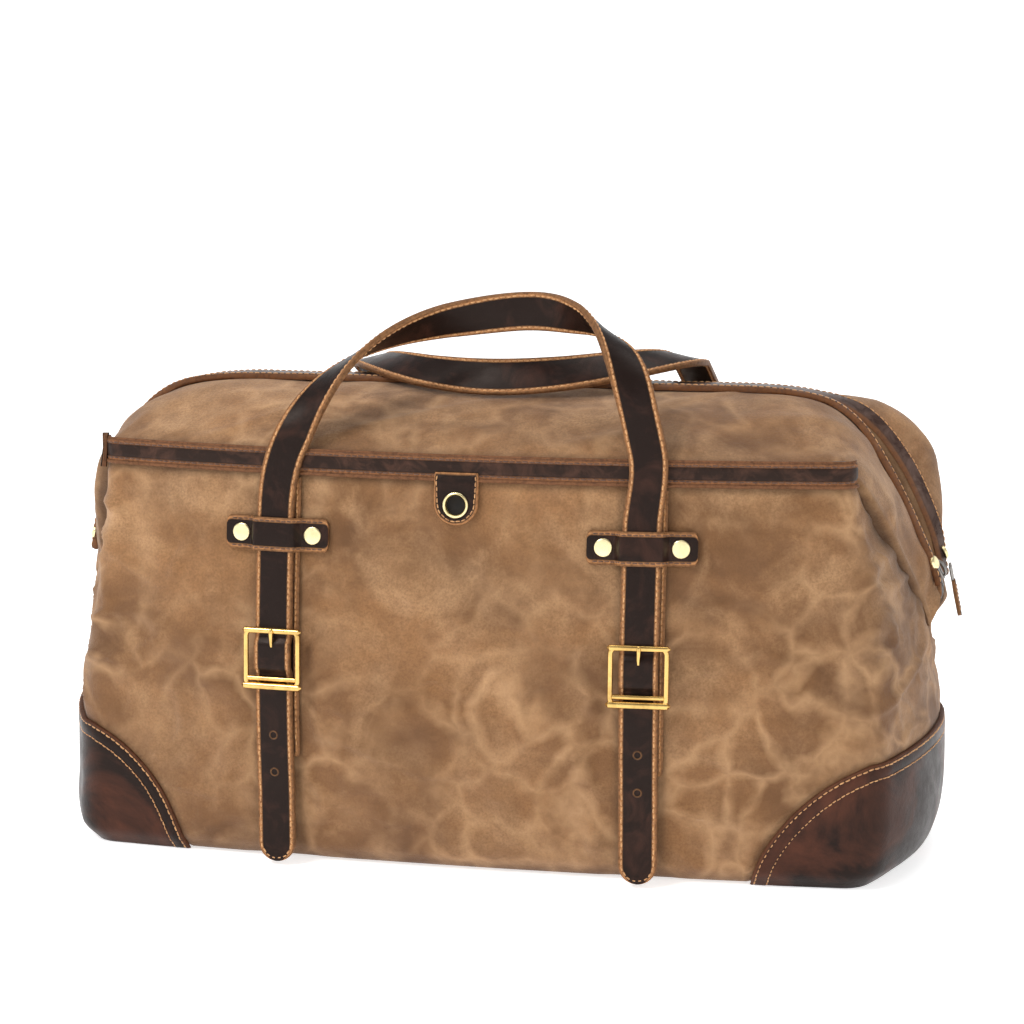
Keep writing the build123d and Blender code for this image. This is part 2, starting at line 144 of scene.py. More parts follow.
def ring(z):
    """Plan of the body at a height: its three arcs, from the front middle to the end middle."""
    hl, hd, es, ss, r = table_at(LEVELS, z)
    big = (hl * hl + ss * ss) / (2 * ss)
    cy = big - hd - ss
    end = (hd * hd + es * es) / (2 * es)
    cx = hl + es - end
    ra, rb = big - r, end - r
    gap = math.hypot(cx, cy)
    a = (ra * ra - rb * rb + gap * gap) / (2 * gap)
    h = math.sqrt(max(ra * ra - a * a, 0))
    ux, uy = cx / gap, -cy / gap
    options = [(a * ux - s * h * uy, cy + a * uy + s * h * ux) for s in (1, -1)]
    fx, fy = max(options, key=lambda o: o[0] - o[1])
    one = math.atan2(fx, cy - fy)
    two = math.atan2(fx - cx, -fy)
    lengths = (big * one, r * (two - one), end * (math.pi / 2 - two))
    return (big, cy, r, fx, fy, end, cx, one, two, lengths)


def reach(z):
    return sum(ring(z)[-1])


def plan(w, data):
    big, cy, r, fx, fy, end, cx, one, two, (l1, l2, _) = data
    if w < l1:
        phi = w / big
        centre, radius = (0, cy), big
    elif w < l1 + l2:
        phi = one + (w - l1) / r
        centre, radius = (fx, fy), r
    else:
        phi = two + (w - l1 - l2) / end
        centre, radius = (cx, 0), end
    return centre[0] + radius * math.sin(phi), centre[1] - radius * math.cos(phi), phi


def spot(w, z):
    """Point and heading at arc length w from the middle of the front, before mirroring."""
    return plan(abs(w), ring(z))


def skin(s, z, out=0.0, side=-1):
    """Point and outward normal on the body. s is signed arc length from the middle, side -1 is the front."""
    hand = -1 if s < 0 else 1
    x, y, phi = spot(s, z)
    x2, y2, _ = spot(s, z + 2)
    x1, y1, _ = spot(s, max(z - 2, 2))
    rise = z + 2 - max(z - 2, 2)
    nx, ny = math.sin(phi), -math.cos(phi)
    lean = ((x2 - x1) * nx + (y2 - y1) * ny) / rise
    shift = END_SHIFT * ease((x - 150) / 110) * (0.4 + 0.6 * bump(z, 50, 200, 50))
    n = Vector((hand * nx, ny * -side, -lean)).normalized()
    p = Vector((hand * x + shift, y * -side, z))
    return p + n * out, n


def around(count):
    """(hand, side, k) once round the body, where k counts each quarter's columns up or down."""
    out = []
    for side, hand, rising in ((-1, 1, True), (1, 1, False), (1, -1, True), (-1, -1, False)):
        out += [(hand, side, k) for k in (range(count) if rising else range(count, 0, -1))]
    return out


def rounded(f, start, finish, least):
    """Width share of a strip whose two ends are rounded over start and finish of its length."""
    return math.prod(math.sqrt(max(1 - (1 - min(g / reach_of, 1)) ** 2, least))
                     for g, reach_of in ((f, start), (1 - f, finish)))


# ---------------------------------------------------------------- mesh building

class Mesh:
    """Vertices in millimetres, faces, and two colour values per vertex: raw edge, and painted shade where
    shadow falls.
    """

    def __init__(self):
        self.verts, self.faces, self.edge, self.shade = [], [], [], []

    def add(self, p, edge=0.0, shade=0.0):
        self.verts.append(Vector(p))
        self.edge.append(edge)
        self.shade.append(shade)
        return len(self.verts) - 1

    def grid(self, rows, wrap=False, loop=False, flip=False):
        """rows of (point, edge, shade); wrap joins each row's ends, loop joins the last row to the first."""
        ids = [[self.add(*cell) for cell in row] for row in rows]
        count = len(ids[0])
        for r in range(len(ids) if loop else len(ids) - 1):
            low, high = ids[r], ids[(r + 1) % len(ids)]
            for c in range(count if wrap else count - 1):
                d = (c + 1) % count
                face = (low[c], low[d], high[d], high[c])
                self.faces.append(face[::-1] if flip else face)
        return ids

    def cap(self, row, flip=False):
        """Closes a wrapped row with a fan."""
        middle = sum((self.verts[i] for i in row), Vector()) / len(row)
        hub = self.add(middle, self.edge[row[0]], self.shade[row[0]])
        for a, b in zip(row, row[1:] + row[:1]):
            self.faces.append((hub, a, b) if flip else (hub, b, a))

    def solid(self, rows, flip=False):
        """Closed skin through a run of rings, with both ends filled."""
        ids = self.grid(rows, wrap=True, flip=flip)
        self.cap(ids[0])
        self.cap(ids[-1], flip=True)

    def build(self, name, material, body=None, replaces=(), slot=None, weld=0.0, angle=40):
        data = bpy.data.meshes.new(name)
        data.from_pydata([v * MM for v in self.verts], [], self.faces)
        for key, values in (("edge", self.edge), ("shade", self.shade)):
            layer = data.attributes.new(key, "FLOAT", "POINT")
            layer.data.foreach_set("value", values)
        data.validate()
        obj = bpy.data.objects.new(name, data)
        bpy.context.scene.collection.objects.link(obj)
        shape = bmesh.new()
        shape.from_mesh(data)
        if weld:
            bmesh.ops.remove_doubles(shape, verts=shape.verts, dist=weld * MM)
        bmesh.ops.recalc_face_normals(shape, faces=shape.faces)
        for face in shape.faces:
            face.smooth = True
        limit = math.radians(angle)
        for e in shape.edges:
            e.smooth = not (len(e.link_faces) == 2 and e.calc_face_angle(0) > limit)
        shape.to_mesh(data)
        shape.free()
        data.materials.append(material)
        if replaces:
            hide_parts(*replaces)
        if body:
            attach(obj, body)
        return obj


def strap_section(half=STRAP_HALF, thick=STRAP_THICK, groove=STITCH_IN, crown=0.35, slim=0.9):
    """Closed section of a two layer strap: (across, out, edge, shade), outer face first."""
    h = thick / 2
    g = half - groove
    right = [
        (half - 0.15, 0.15 * h, 0.4, 0.4), (half, 0.45 * h, 0.45, 0.2), (half - 0.25, 0.8 * h, 0.5, 0.1),
        (half - 0.9, h, 0.45, 0), (g + 0.75, h * 0.98, 0.95, 0), (g, h - 0.3, 1, 0),
        (g - 0.75, h - 0.05, 0.5, 0.2), (g - 1.3, h, 0, 0.5), (g * 0.68, h + crown * 0.7, 0, 0),
        (g * 0.36, h + crown, 0, 0),
    ]
    top = right + [(0, h + crown, 0, 0)] + [(-a, b, e, s) for a, b, e, s in reversed(right)]
    under = [(a, -b * slim, e, s) for a, b, e, s in reversed(top)]
    return top + under


def ribbon(mesh, stations, section):
    """Sweep a section. Stations are (centre, across, out, across scale, out scale)."""
    rows = []
    for centre, across, out, sa, so in stations:
        rows.append([(centre + across * (a * sa) + out * (b * so), e, s) for a, b, e, s in section])
    mesh.solid(rows)


def tube(mesh, path, radius, sides=8, edge=0.0, shade=0.0, closed=False, flat=1.0, up=None):
    """Round bar along points. radius is a number or one per point."""
    count = len(path)
    radii = radius if isinstance(radius, list) else [radius] * count
    rows, carried = [], up or Vector((0.1, -1, 0.2))
    for i, p in enumerate(path):
        a = path[(i - 1) % count] if closed or i else p
        b = path[(i + 1) % count] if closed or i < count - 1 else p
        along = (b - a).normalized()
        out = (carried - along * carried.dot(along)).normalized()
        carried = out if up is None else up
        side = along.cross(out)
        row = []
        for k in range(sides):
            t = 2 * math.pi * k / sides
            row.append((p + (side * math.cos(t) + out * math.sin(t) * flat) * radii[i], edge, shade))
        rows.append(row)
    ids = mesh.grid(rows, wrap=True, loop=closed)
    if not closed:
        mesh.cap(ids[0])
        mesh.cap(ids[-1], flip=True)


def lathe(mesh, origin, axis, profile, sides=40):
    """Turn (radius, height, edge, shade) points about an axis."""
    ref = Vector((1, 0, 0)) if abs(axis.x) < 0.7 else Vector((0, 1, 0))
    u = axis.cross(ref).normalized()
    v = axis.cross(u)
    rows = []
    for r, h, e, s in profile:
        rows.append([(origin + axis * h + (u * math.cos(t) + v * math.sin(t)) * r, e, s)
                     for t in (2 * math.pi * k / sides for k in range(sides))])
    mesh.solid(rows)


def resample(path, step):
    """Points and outward directions at even steps along (point, out) pairs."""
    total = sum((b[0] - a[0]).length for a, b in zip(path, path[1:]))
    count = max(int(round(total / step)), 1)
    spans, out, walked, want, i = total / count, [], 0.0, 0.0, 0
    for k in range(count + 1):
        want = k * spans
        while i < len(path) - 2 and walked + (path[i + 1][0] - path[i][0]).length < want:
            walked += (path[i + 1][0] - path[i][0]).length
            i += 1
        gap = (path[i + 1][0] - path[i][0]).length or 1.0
        f = min(max((want - walked) / gap, 0), 1)
        out.append((path[i][0].lerp(path[i + 1][0], f), path[i][1].lerp(path[i + 1][1], f).normalized()))
    return out


def stitches(mesh, path, pitch=4.6, radius=0.5, gap=0.1, lift=0.0):
    """A row of sewn stitches, each a small rounded thread that dips into the leather at its ends."""
    marks = resample(path, pitch)
    for k, ((p, n), (q, m)) in enumerate(zip(marks, marks[1:])):
        out = (n + m).normalized()
        along = q - p
        side = along.cross(out).normalized()
        sway = 0.16 * math.sin(k * 2.4)
        rows = []
        for t, fat, rise in ((0, 0.35, -0.9), (0.1, 0.85, -0.3), (0.34, 1, 0.35),
                             (0.66, 1, 0.35), (0.9, 0.85, -0.3), (1, 0.35, -0.9)):
            f = gap / 2 + (1 - gap) * t
            c = p + along * f + out * (rise * radius + lift) + side * sway
            rows.append([(c + (side * math.cos(a) + out * math.sin(a)) * radius * fat, 0, 0)
                         for a in (math.tau * j / 6 for j in range(6))])
        mesh.solid(rows)


def seam_of(stations, offset, half_thick):
    """Path for a seam that runs along stations, offset across from the middle."""
    out = []
    for centre, across, normal, sa, so in stations:
        out.append((centre + across * (offset * sa) + normal * half_thick * so, normal))
    return out


# ---------------------------------------------------------------- materials

def srgb(r, g, b):
    out = []
    for c in (r, g, b):
        c /= 255
        out.append(c / 12.92 if c <= 0.04045 else ((c + 0.055) / 1.055) ** 2.4)
    return (*out, 1.0)


class Finish:
    """A node material with a Principled shader, and short ways to add nodes to it."""

    def __init__(self, name):
        self.material = bpy.data.materials.new(name)
        self.material.use_nodes = True
        self.tree = self.material.node_tree
        self.shader = self.tree.nodes["Principled BSDF"]
        self.place = self.node("ShaderNodeTexCoord").outputs["Object"]

    def node(self, kind, sockets=None, **settings):
        made = self.tree.nodes.new(kind)
        for key, value in settings.items():
            setattr(made, key, value)
        for key, value in (sockets or {}).items():
            if isinstance(value, bpy.types.NodeSocket):
                self.tree.links.new(value, made.inputs[key])
            else:
                made.inputs[key].default_value = value
        return made

    def noise(self, scale, detail=4.0, rough=0.55, distort=0.0, stretch=None):
        vector = self.place
        if stretch:
            vector = self.node("ShaderNodeMapping", {"Vector": vector, "Scale": stretch}).outputs[0]
        return self.node("ShaderNodeTexNoise", {"Vector": vector, "Scale": scale, "Detail": detail,
                                                "Roughness": rough, "Distortion": distort}).outputs["Fac"]

    def span(self, value, low, high, to_low=0.0, to_high=1.0):
        return self.node("ShaderNodeMapRange", {"Value": value, "From Min": low, "From Max": high,
                                                "To Min": to_low, "To Max": to_high}).outputs["Result"]

    def math(self, kind, a, b=0.0):
        return self.node("ShaderNodeMath", {0: a, 1: b}, operation=kind).outputs[0]

    def mix(self, share, a, b, blend="MIX"):
        made = self.node("ShaderNodeMix", {"Factor": share}, data_type="RGBA", blend_type=blend)
        for index, value in ((6, a), (7, b)):
            if isinstance(value, bpy.types.NodeSocket):
                self.tree.links.new(value, made.inputs[index])
            else:
                made.inputs[index].default_value = value
        return made.outputs[2]

    def trait(self, name):
        return self.node("ShaderNodeAttribute", attribute_name=name).outputs["Fac"]

    def bump(self, height, strength, distance, under=None):
        sockets = {"Height": height, "Strength": strength, "Distance": distance}
        if under is not None:
            sockets["Normal"] = under
        return self.node("ShaderNodeBump", sockets).outputs["Normal"]

    def done(self, color, roughness, normal=None, **fixed):
        link = self.tree.links.new
        link(color, self.shader.inputs["Base Color"])
        link(roughness, self.shader.inputs["Roughness"])
        if normal is not None:
            link(normal, self.shader.inputs["Normal"])
        for key, value in fixed.items():
            self.shader.inputs[key.replace("_", " ")].default_value = value
        return self.material


def canvas_finish(name, base, dark, pale):
    f = Finish(name)
    cloud = f.span(f.noise(9.5, 6, 0.6, 0.4, (1, 1, 1.35)), 0.36, 0.62)
    color = f.mix(cloud, dark, base)
    patch = f.span(f.noise(21, 5, 0.58, 0.6), 0.44, 0.7, 0, 0.5)
    color = f.mix(patch, color, pale)
    warp = f.node("ShaderNodeTexNoise", {"Vector": f.place, "Scale": 13.0, "Detail": 4.0}).outputs["Color"]
    moved = f.node("ShaderNodeVectorMath", {0: warp, 1: (0.075, 0.075, 0.075), 2: f.place},
                   operation="MULTIPLY_ADD").outputs[0]
    cells = f.node("ShaderNodeTexVoronoi", {"Vector": moved, "Scale": 26.0},
                   feature="DISTANCE_TO_EDGE").outputs["Distance"]
    crease = f.math("MULTIPLY", f.span(cells, 0.0, 0.17, 1, 0), f.span(f.noise(6.5, 3), 0.38, 0.56))
    crease = f.math("MULTIPLY", crease, f.span(f.noise(34, 3), 0.34, 0.56, 0.25, 1))
    waxed = f.math("MULTIPLY", crease, 0.36)
    # Painted shade: the canvas darkens towards the bottom, where less light falls.
    height = f.node("ShaderNodeSeparateXYZ", {"Vector": f.place}).outputs["Z"]
    color = f.mix(f.span(height, 0.0, 0.29, 0.46, 0.0), color, srgb(92, 60, 33))
    color = f.mix(f.span(f.noise(95, 5, 0.65), 0.36, 0.66, 0.3, 0), color, dark)
    grain = f.noise(640, 4, 0.7)
    color = f.mix(f.span(grain, 0.34, 0.6, 0.5, 0), color, dark)
    color = f.mix(waxed, color, pale)
    # Painted shade: the per-vertex shade darkens the canvas towards a dark brown.
    color = f.mix(f.math("MULTIPLY", f.trait("shade"), 0.75), color, srgb(62, 42, 26))
    weave = []
    for direction in ("X", "Z"):
        weave.append(f.node("ShaderNodeTexWave", {"Vector": f.place, "Scale": 420.0, "Distortion": 0.6,
                                                  "Detail": 1.0, "Detail Scale": 1.0},
                            bands_direction=direction).outputs["Fac"])
    cloth = f.math("MULTIPLY", weave[0], weave[1])
    normal = f.bump(cloth, 0.12, 0.0003)
    normal = f.bump(grain, 0.5, 0.0009, normal)
    normal = f.bump(f.noise(60, 5, 0.6, 0.5), 0.25, 0.003, normal)
    rough = f.span(f.noise(30, 4), 0.3, 0.7, 0.7, 0.9)
    return f.done(color, rough, normal, Sheen_Weight=0.12, Sheen_Roughness=0.5, Specular_IOR_Level=0.32)


def leather_finish(name, deep, warm, raw, patch=(38, 0.48, 0.74), gloss=(0.36, 0.52), grain=620):
    f = Finish(name)
    scale, low, high = patch
    cloud = f.span(f.noise(scale, 7, 0.62, 0.9), low, high)
    color = f.mix(cloud, deep, warm)
    streak = f.span(f.noise(scale * 2.2, 5, 0.7, 1.5, (1, 1, 0.5)), 0.62, 0.8, 0, 0.35)
    color = f.mix(streak, color, warm)
    # Painted shade: the per-vertex shade darkens the leather in grooves, holes and undersides.
    color = f.mix(f.math("MULTIPLY", f.trait("shade"), 0.9), color, srgb(18, 11, 9))
    worn = f.math("MULTIPLY", f.trait("edge"), f.span(f.noise(420, 3, 0.6), 0.3, 0.6, 0.45, 1.0))
    color = f.mix(worn, color, raw)
    cells = f.node("ShaderNodeTexVoronoi", {"Vector": f.place, "Scale": float(grain)},
                   feature="DISTANCE_TO_EDGE").outputs["Distance"]
    normal = f.bump(f.span(cells, 0, 0.12), 0.16, 0.0002)
    normal = f.bump(f.noise(140, 5, 0.6), 0.22, 0.0009, normal)
    rough = f.span(f.noise(75, 5, 0.6), 0.3, 0.7, *gloss)
    rough = f.math("ADD", rough, f.math("MULTIPLY", f.trait("edge"), 0.25))
    return f.done(color, rough, normal, Specular_IOR_Level=0.18, Specular_Tint=(1.0, 0.84, 0.74, 1.0))


def thread_finish(name, base, dark):
    f = Finish(name)
    color = f.mix(f.span(f.noise(300, 4), 0.35, 0.65), dark, base)
    twist = f.node("ShaderNodeTexWave", {"Vector": f.place, "Scale": 700.0, "Distortion": 2.0},
                   bands_direction="DIAGONAL").outputs["Fac"]
    return f.done(color, f.span(f.noise(200, 2), 0.3, 0.7, 0.6, 0.8), f.bump(twist, 0.3, 0.0003),
                  Sheen_Weight=0.2)


def metal_finish(name, base, dark, gloss):
    f = Finish(name)
    tarnish = f.span(f.noise(90, 5, 0.6), 0.45, 0.75, 0, 0.55)
    color = f.mix(tarnish, base, dark)
    brushed = f.noise(120, 3, 0.5)
    rough = f.span(brushed, 0.3, 0.7, *gloss)
    return f.done(color, rough, f.bump(brushed, 0.05, 0.0003), Metallic=1.0)


def cloth_finish(name, base, dark, rough=(0.75, 0.92)):
    f = Finish(name)
    color = f.mix(f.span(f.noise(160, 4), 0.35, 0.65), dark, base)
    rib = f.node("ShaderNodeTexWave", {"Vector": f.place, "Scale": 500.0}, bands_direction="X").outputs["Fac"]
    return f.done(color, f.span(f.noise(60, 3), 0.3, 0.7, *rough), f.bump(rib, 0.3, 0.0004))


CANVAS = canvas_finish("waxed_canvas", srgb(154, 111, 71), srgb(98, 66, 38), srgb(208, 166, 122))
LEATHER = leather_finish("strap_leather", srgb(24, 14, 12), srgb(55, 33, 26), srgb(176, 124, 80),
                         gloss=(0.3, 0.46))
BAND_LEATHER = leather_finish("band_leather", srgb(34, 22, 18), srgb(72, 48, 38), srgb(140, 94, 62),
                              patch=(70, 0.45, 0.72), grain=420)
GUARD = leather_finish("guard_leather", srgb(24, 14, 12), srgb(88, 49, 34), srgb(88, 54, 36),
                       patch=(13, 0.46, 0.72), gloss=(0.3, 0.46), grain=500)
TRIM = leather_finish("binding_leather", srgb(52, 36, 31), srgb(104, 84, 76), srgb(118, 78, 50),
                      patch=(60, 0.4, 0.7), gloss=(0.26, 0.42))
THREAD = thread_finish("tan_thread", srgb(208, 156, 102), srgb(160, 110, 66))
DARK_THREAD = thread_finish("brown_thread", srgb(104, 70, 48), srgb(70, 44, 31))
BRASS = metal_finish("buckle_brass", srgb(222, 184, 112), srgb(136, 96, 48), (0.14, 0.24))
PALE_BRASS = metal_finish("rivet_brass", srgb(243, 228, 178), srgb(206, 182, 122), (0.2, 0.38))
STEEL = metal_finish("zip_metal", srgb(150, 146, 142), srgb(84, 78, 74), (0.26, 0.42))
TAPE = cloth_finish("zip_cloth", srgb(52, 38, 30), srgb(34, 24, 20))
INSIDE = cloth_finish("lining_cloth", srgb(120, 104, 84), srgb(96, 82, 66))
BOARD = cloth_finish("board_plastic", srgb(42, 42, 42), srgb(30, 30, 30), (0.5, 0.7))
# Near-black stand-in for the shadow seen through the eyelet: painted shadow.
HOLE_SHADOW = cloth_finish("painted_hole_shadow", srgb(22, 15, 12), srgb(12, 8, 7), (0.8, 0.95))

thread, dark_thread = Mesh(), Mesh()   # the seams that don't cross a joint


# ---------------------------------------------------------------- canvas body

def fold_height(y):
    """Height at which the end wall goes under the folded wing."""
    return table_at([(0, 168), (12, 170), (22, 180), (45, 208), (73, 243), (84, 262), (90, 276)], y)[0]


def crumple(p, s, z):
    """How far the stuffed canvas stands out from its plain shape, in mm."""
    x = abs(p.x)
    near_strap = bump(x, STRAP_X - 16, STRAP_X + 16, 15) if x < 240 else 0.0
    calm = (1 - 0.92 * near_strap) * ease((z - 4) / 26) * ease((262 - z) / 22)
    big = 3.4 * wobble(p, 92, 3.1) + 2.1 * wobble(p, 46, 7.7)
    q = (p.x + 9 * wobble(p, 40, 6.0), p.y, p.z * 1.6 + 9 * wobble(p, 37, 4.0))
    ridges = 1 - abs(2.2 * wobble(q, 58, 11.3))
    cross = 1 - abs(2.4 * wobble(q, 33, 1.3))
    fold = 2.7 * ease((ridges - 0.6) / 0.4) + 1.1 * ease((cross - 0.62) / 0.38)
    small = 0.8 * wobble(p, 19, 5.2) + 0.35 * wobble(p, 9, 1.9)
    if abs(s) > 170:
        calm *= ease(guard_distance(abs(s), z) / 16)
    keeper = bump(x, STRAP_X - 36, STRAP_X + 36, 14) * bump(z, KEEPER_Z - 12, KEEPER_Z + 12, 12)
    tab = bump(x, -1, 15, 12) * ease((z - 220) / 12)
    calm *= 1 - 0.95 * max(keeper, tab)
    return calm * (big + fold + small) - 0.5 * near_strap


def canvas_body():
    mesh = Mesh()
    per_quarter, levels = 132, 104
    columns = around(per_quarter)
    guess = reach(220.0)
    tops = [min(fold_height(abs(spot(k / per_quarter * guess, 220.0)[1])), CANVAS_TOP) for _, _, k in columns]
    rows = []
    for r in range(levels + 1):
        row = []
        for (hand, side, k), top in zip(columns, tops):
            z = 2 + (top - 2) * r / levels
            w = k / per_quarter * reach(z)
            p, n = skin(hand * max(w, 1e-6), z, 0, side)
            inside_guard = abs(w) > 170 and z < guard_top(w) + 2
            out = -0.9 if inside_guard else crumple(p, w, z)
            # Painted shade: darker under the folded wing and the band, at the floor, beside the guards and
            # beside the straps.
            tuck = between(16, 30, ease((CANVAS_TOP - top) / 20))
            shade = ease(1 - (top - z) / tuck) * 0.8 + 0.5 * ease(1 - (z - 2) / 9)
            if not inside_guard and w > 172:
                shade = max(shade, 0.75 * ease(1 - (guard_distance(w, z)) / 5))
            if abs(p.y) > 80:
                edge = abs(abs(p.x) - STRAP_X) - STRAP_HALF
                shade = max(shade, 0.45 * ease(1 - abs(edge - 1) / 5))
                shade = max(shade, 0.6 * ease(1 - abs(z - 260) / 5))
            row.append((p + n * out, 0, shade))
        rows.append(row)
    # The turned-in top rows and the underside carry painted shade.
    lip = [(Vector((p.x * 0.965, p.y * 0.93, p.z + 1.5)), e, 1) for p, e, _ in rows[-1]]
    deep = [(Vector((p.x * 0.90, p.y * 0.8, p.z - 4)), e, 1) for p, e, _ in rows[-1]]
    rows += [lip, deep]
    under = []
    for k in (0.0, 0.35, 0.7, 0.9, 0.975):
        under.append([(Vector((p.x * between(0.3, 1, k), p.y * k, 1.6 + (0 if k < 0.95 else 0.3))), 0, 0.6)
                      for p, _, _ in rows[0]])
    mesh.grid(under + rows, wrap=True)
    return mesh.build("bag_canvas", CANVAS, "bag", ("front_panel", "back_panel", "bottom_panel"), "canvas",
                      weld=0.02, angle=70)


# ---------------------------------------------------------------- end guards

GUARD_ARC = ((190, -5), (216, 52), (262, 85))


def circle_through(a, b, c):
    ax, ay, bx, by, cx, cy = *a, *b, *c
    d = 2 * (ax * (by - cy) + bx * (cy - ay) + cx * (ay - by))
    sa, sb, sc = ax * ax + ay * ay, bx * bx + by * by, cx * cx + cy * cy
    ux = (sa * (by - cy) + sb * (cy - ay) + sc * (ay - by)) / d
    uy = (sa * (cx - bx) + sb * (ax - cx) + sc * (bx - ax)) / d
    return ux, uy, math.hypot(ax - ux, ay - uy)


GUARD_CIRCLE = circle_through(*GUARD_ARC)


def guard_rim():
    """The guard's edge on the unrolled body, (arc length, height), from the floor to the end's middle."""
    ux, uy, radius = GUARD_CIRCLE
    start = math.atan2(0.0 - uy, -math.sqrt(radius ** 2 - uy ** 2))
    finish = math.atan2(GUARD_ARC[2][1] - uy, GUARD_ARC[2][0] - ux)
    if start < 0:
        start += math.tau
    points = []
    for k in range(61):
        a = between(start, finish, k / 60)
        points.append((ux + radius * math.cos(a), uy + radius * math.sin(a)))
    last = reach(96)
    steps = 44
    w0, z0 = points[-1]
    slope = (points[-1][1] - points[-3][1]) / (points[-1][0] - points[-3][0])
    for k in range(1, steps + 1):
        t = k / steps
        w = between(w0, last, t)
        points.append((w, hermite(z0, 92.0, slope * 22, 0.0, t ** 0.8)))
    return points


RIM = guard_rim()


def guard_top(w):
    if w <= RIM[0][0]:
        return -10.0
    for (a, za), (b, zb) in zip(RIM, RIM[1:]):
        if a <= w <= b:
            return between(za, zb, (w - a) / max(b - a, 1e-6))
    return RIM[-1][1]


def guard_distance(w, z):
    ux, uy, radius = GUARD_CIRCLE
    if w < GUARD_ARC[2][0]:
        return abs(math.hypot(w - ux, z - uy) - radius)
    return abs(z - guard_top(w))


def rim_inward(k):
    a, b = RIM[max(k - 1, 0)], RIM[min(k + 1, len(RIM) - 1)]
    dw, dz = b[0] - a[0], b[1] - a[1]
    size = math.hypot(dw, dz)
    return dz / size, -dw / size


def guard_piece(hand, side, mesh):
    insets = [(0.0, -0.4, 1, 0.6), (-0.1, 0.8, 1, 0), (0.15, 1.9, 1, 0), (0.8, 2.5, 0.85, 0),
              (1.5, 2.5, 0.35, 0.2), (2.1, 2.15, 0, 0.8), (2.8, 2.5, 0, 0.1), (5.5, 2.75, 0, 0),
              (8.9, 2.7, 0, 0.05), (9.7, 2.25, 0, 0.75), (10.5, 2.45, 0, 0.1), (13, 2.4, 0, 0)]
    fan = 26
    last = reach(3)
    rows = [[] for _ in range(len(insets) + fan)]
    count = len(RIM)
    for k, (w, z) in enumerate(RIM):
        nw, nz = rim_inward(k)
        rough = 0.3 * noise.noise(Vector((w * 0.13, z * 0.13, hand * 3.0 + side)))
        end = k == count - 1
        for i, (d, out, edge, shade) in enumerate(insets):
            dd = d + (rough if i in (1, 2, 3) else 0)
            pw, pz = w + nw * dd, max(z + nz * dd, 0.0)
            pw = reach(pz) if end else min(pw, reach(pz))
            rows[i].append(guard_point(pw, pz, out, hand, side, edge, shade))
        bw, bz = w + nw * 13, max(z + nz * 13, 0.0)
        fw = between(RIM[0][0] + 14, last, k / (count - 1))
        for j in range(1, fan + 1):
            t = j / fan
            pz = between(bz, 0.0, t)
            pw = between(bw, fw, t)
            pw = reach(pz) if end else min(pw, reach(pz))
            rows[len(insets) + j - 1].append(guard_point(pw, pz, 2.4, hand, side, 0, 0.35 * ease(1 - pz / 6)))
    floor_row = rows[-1]
    for k in (0.94, 0.6, 0.25, 0.0):
        rows.append([(Vector((p.x, p.y * k, 0.25)), 0, 0.5) for p, _, _ in floor_row])
    mesh.grid(rows, flip=(hand * side > 0))
    for inset, out in ((2.1, 2.3), (9.7, 2.4)):
        path = []
        for k, (w, z) in enumerate(RIM):
            nw, nz = rim_inward(k)
            pw, pz = w + nw * inset, z + nz * inset
            if pz < 1.0:
                continue
            pw = reach(pz) if k == count - 1 else min(pw, reach(pz))
            path.append(skin(hand * pw, max(pz, 2.0), out, side))
        stitches(thread, path, 3.4 if inset > 5 else 4.2, 0.42 if inset > 5 else 0.52)


def guard_point(w, z, out, hand, side, edge, shade):
    p, n = skin(hand * max(w, 1e-6), max(z, 2.0), out, side)
    if z < 2.0:
        p.z = between(0.2, p.z, z / 2.0)
        p.x -= n.x * (2.0 - z) * 0.9
        p.y -= n.y * (2.0 - z) * 0.9
    sag = 0.7 * wobble(p, 55, 4.4) * ease((z - 3) / 20) * ease(out - 1.4)
    return (p + n * sag, edge, shade)


def guards():
    for hand, name in ((-1, "left"), (1, "right")):
        mesh = Mesh()
        for side in (-1, 1):
            guard_piece(hand, side, mesh)
        mesh.build(f"guard_{name}", GUARD, "bag", (f"end_guard_{name}",), "guard_leather",
                   weld=0.05, angle=75)


# ---------------------------------------------------------------- top panels, bindings and zip

def both_halves(left, right, place):
    """Points from the left tip to the right tip, from two tables that start at the middle."""
    return ([place(-row[0], *row[1:]) for row in left[1:]][::-1] + [place(*row) for row in right])


RIDGE = both_halves(RIDGE_LEFT, RIDGE_RIGHT, lambda x, z: Vector((x, 0, z)))
EAVE = both_halves(EAVES_LEFT, EAVES_RIGHT, lambda x, y, z: Vector((x, -y, z)))
LAST = len(RIDGE) - 1
TOP_STEPS = []
for i in range(LAST):
    pieces = 26 if i in (LAST // 2 - 1, LAST // 2) else 18 if i in (5, 8, 4, 9) else 12
    TOP_STEPS += [i + k / pieces for k in range(pieces)]
TOP_STEPS.append(float(LAST))


def slope_at(t, side):
    """Ridge point, unit fall to the eave, its length, outward normal and ridge direction."""
    r, e = curve_at(RIDGE, t), curve_at(EAVE, t)
    ahead = curve_at(RIDGE, min(t + 0.02, LAST)) - curve_at(RIDGE, max(t - 0.02, 0))
    e = Vector((e.x, e.y * -side, e.z))
    fall = e - r
    down = fall.normalized()
    along = ahead.normalized()
    up = down.cross(along) * (-side)
    return r, down, fall.length, up.normalized(), along


def middle_of_top(t):
    """1 over the middle of the bag, 0 on the wings."""
    return ease((min(t, LAST - t) - 3.2) / 1.6)


def top_rise(t, q, side):
    """How far the stuffed top stands above its ruled surface, in mm."""
    body = middle_of_top(t)
    arch = math.sin(math.pi * q ** 0.86)
    if side < 0:
        return arch * between(5.0, 10.5, body)
    wing = between(30.0, 10.0, ease((t - 10.8) / 2.4)) if t > LAST / 2 else 7.0
    return math.sin(math.pi * q) * between(wing, 10.0, body)


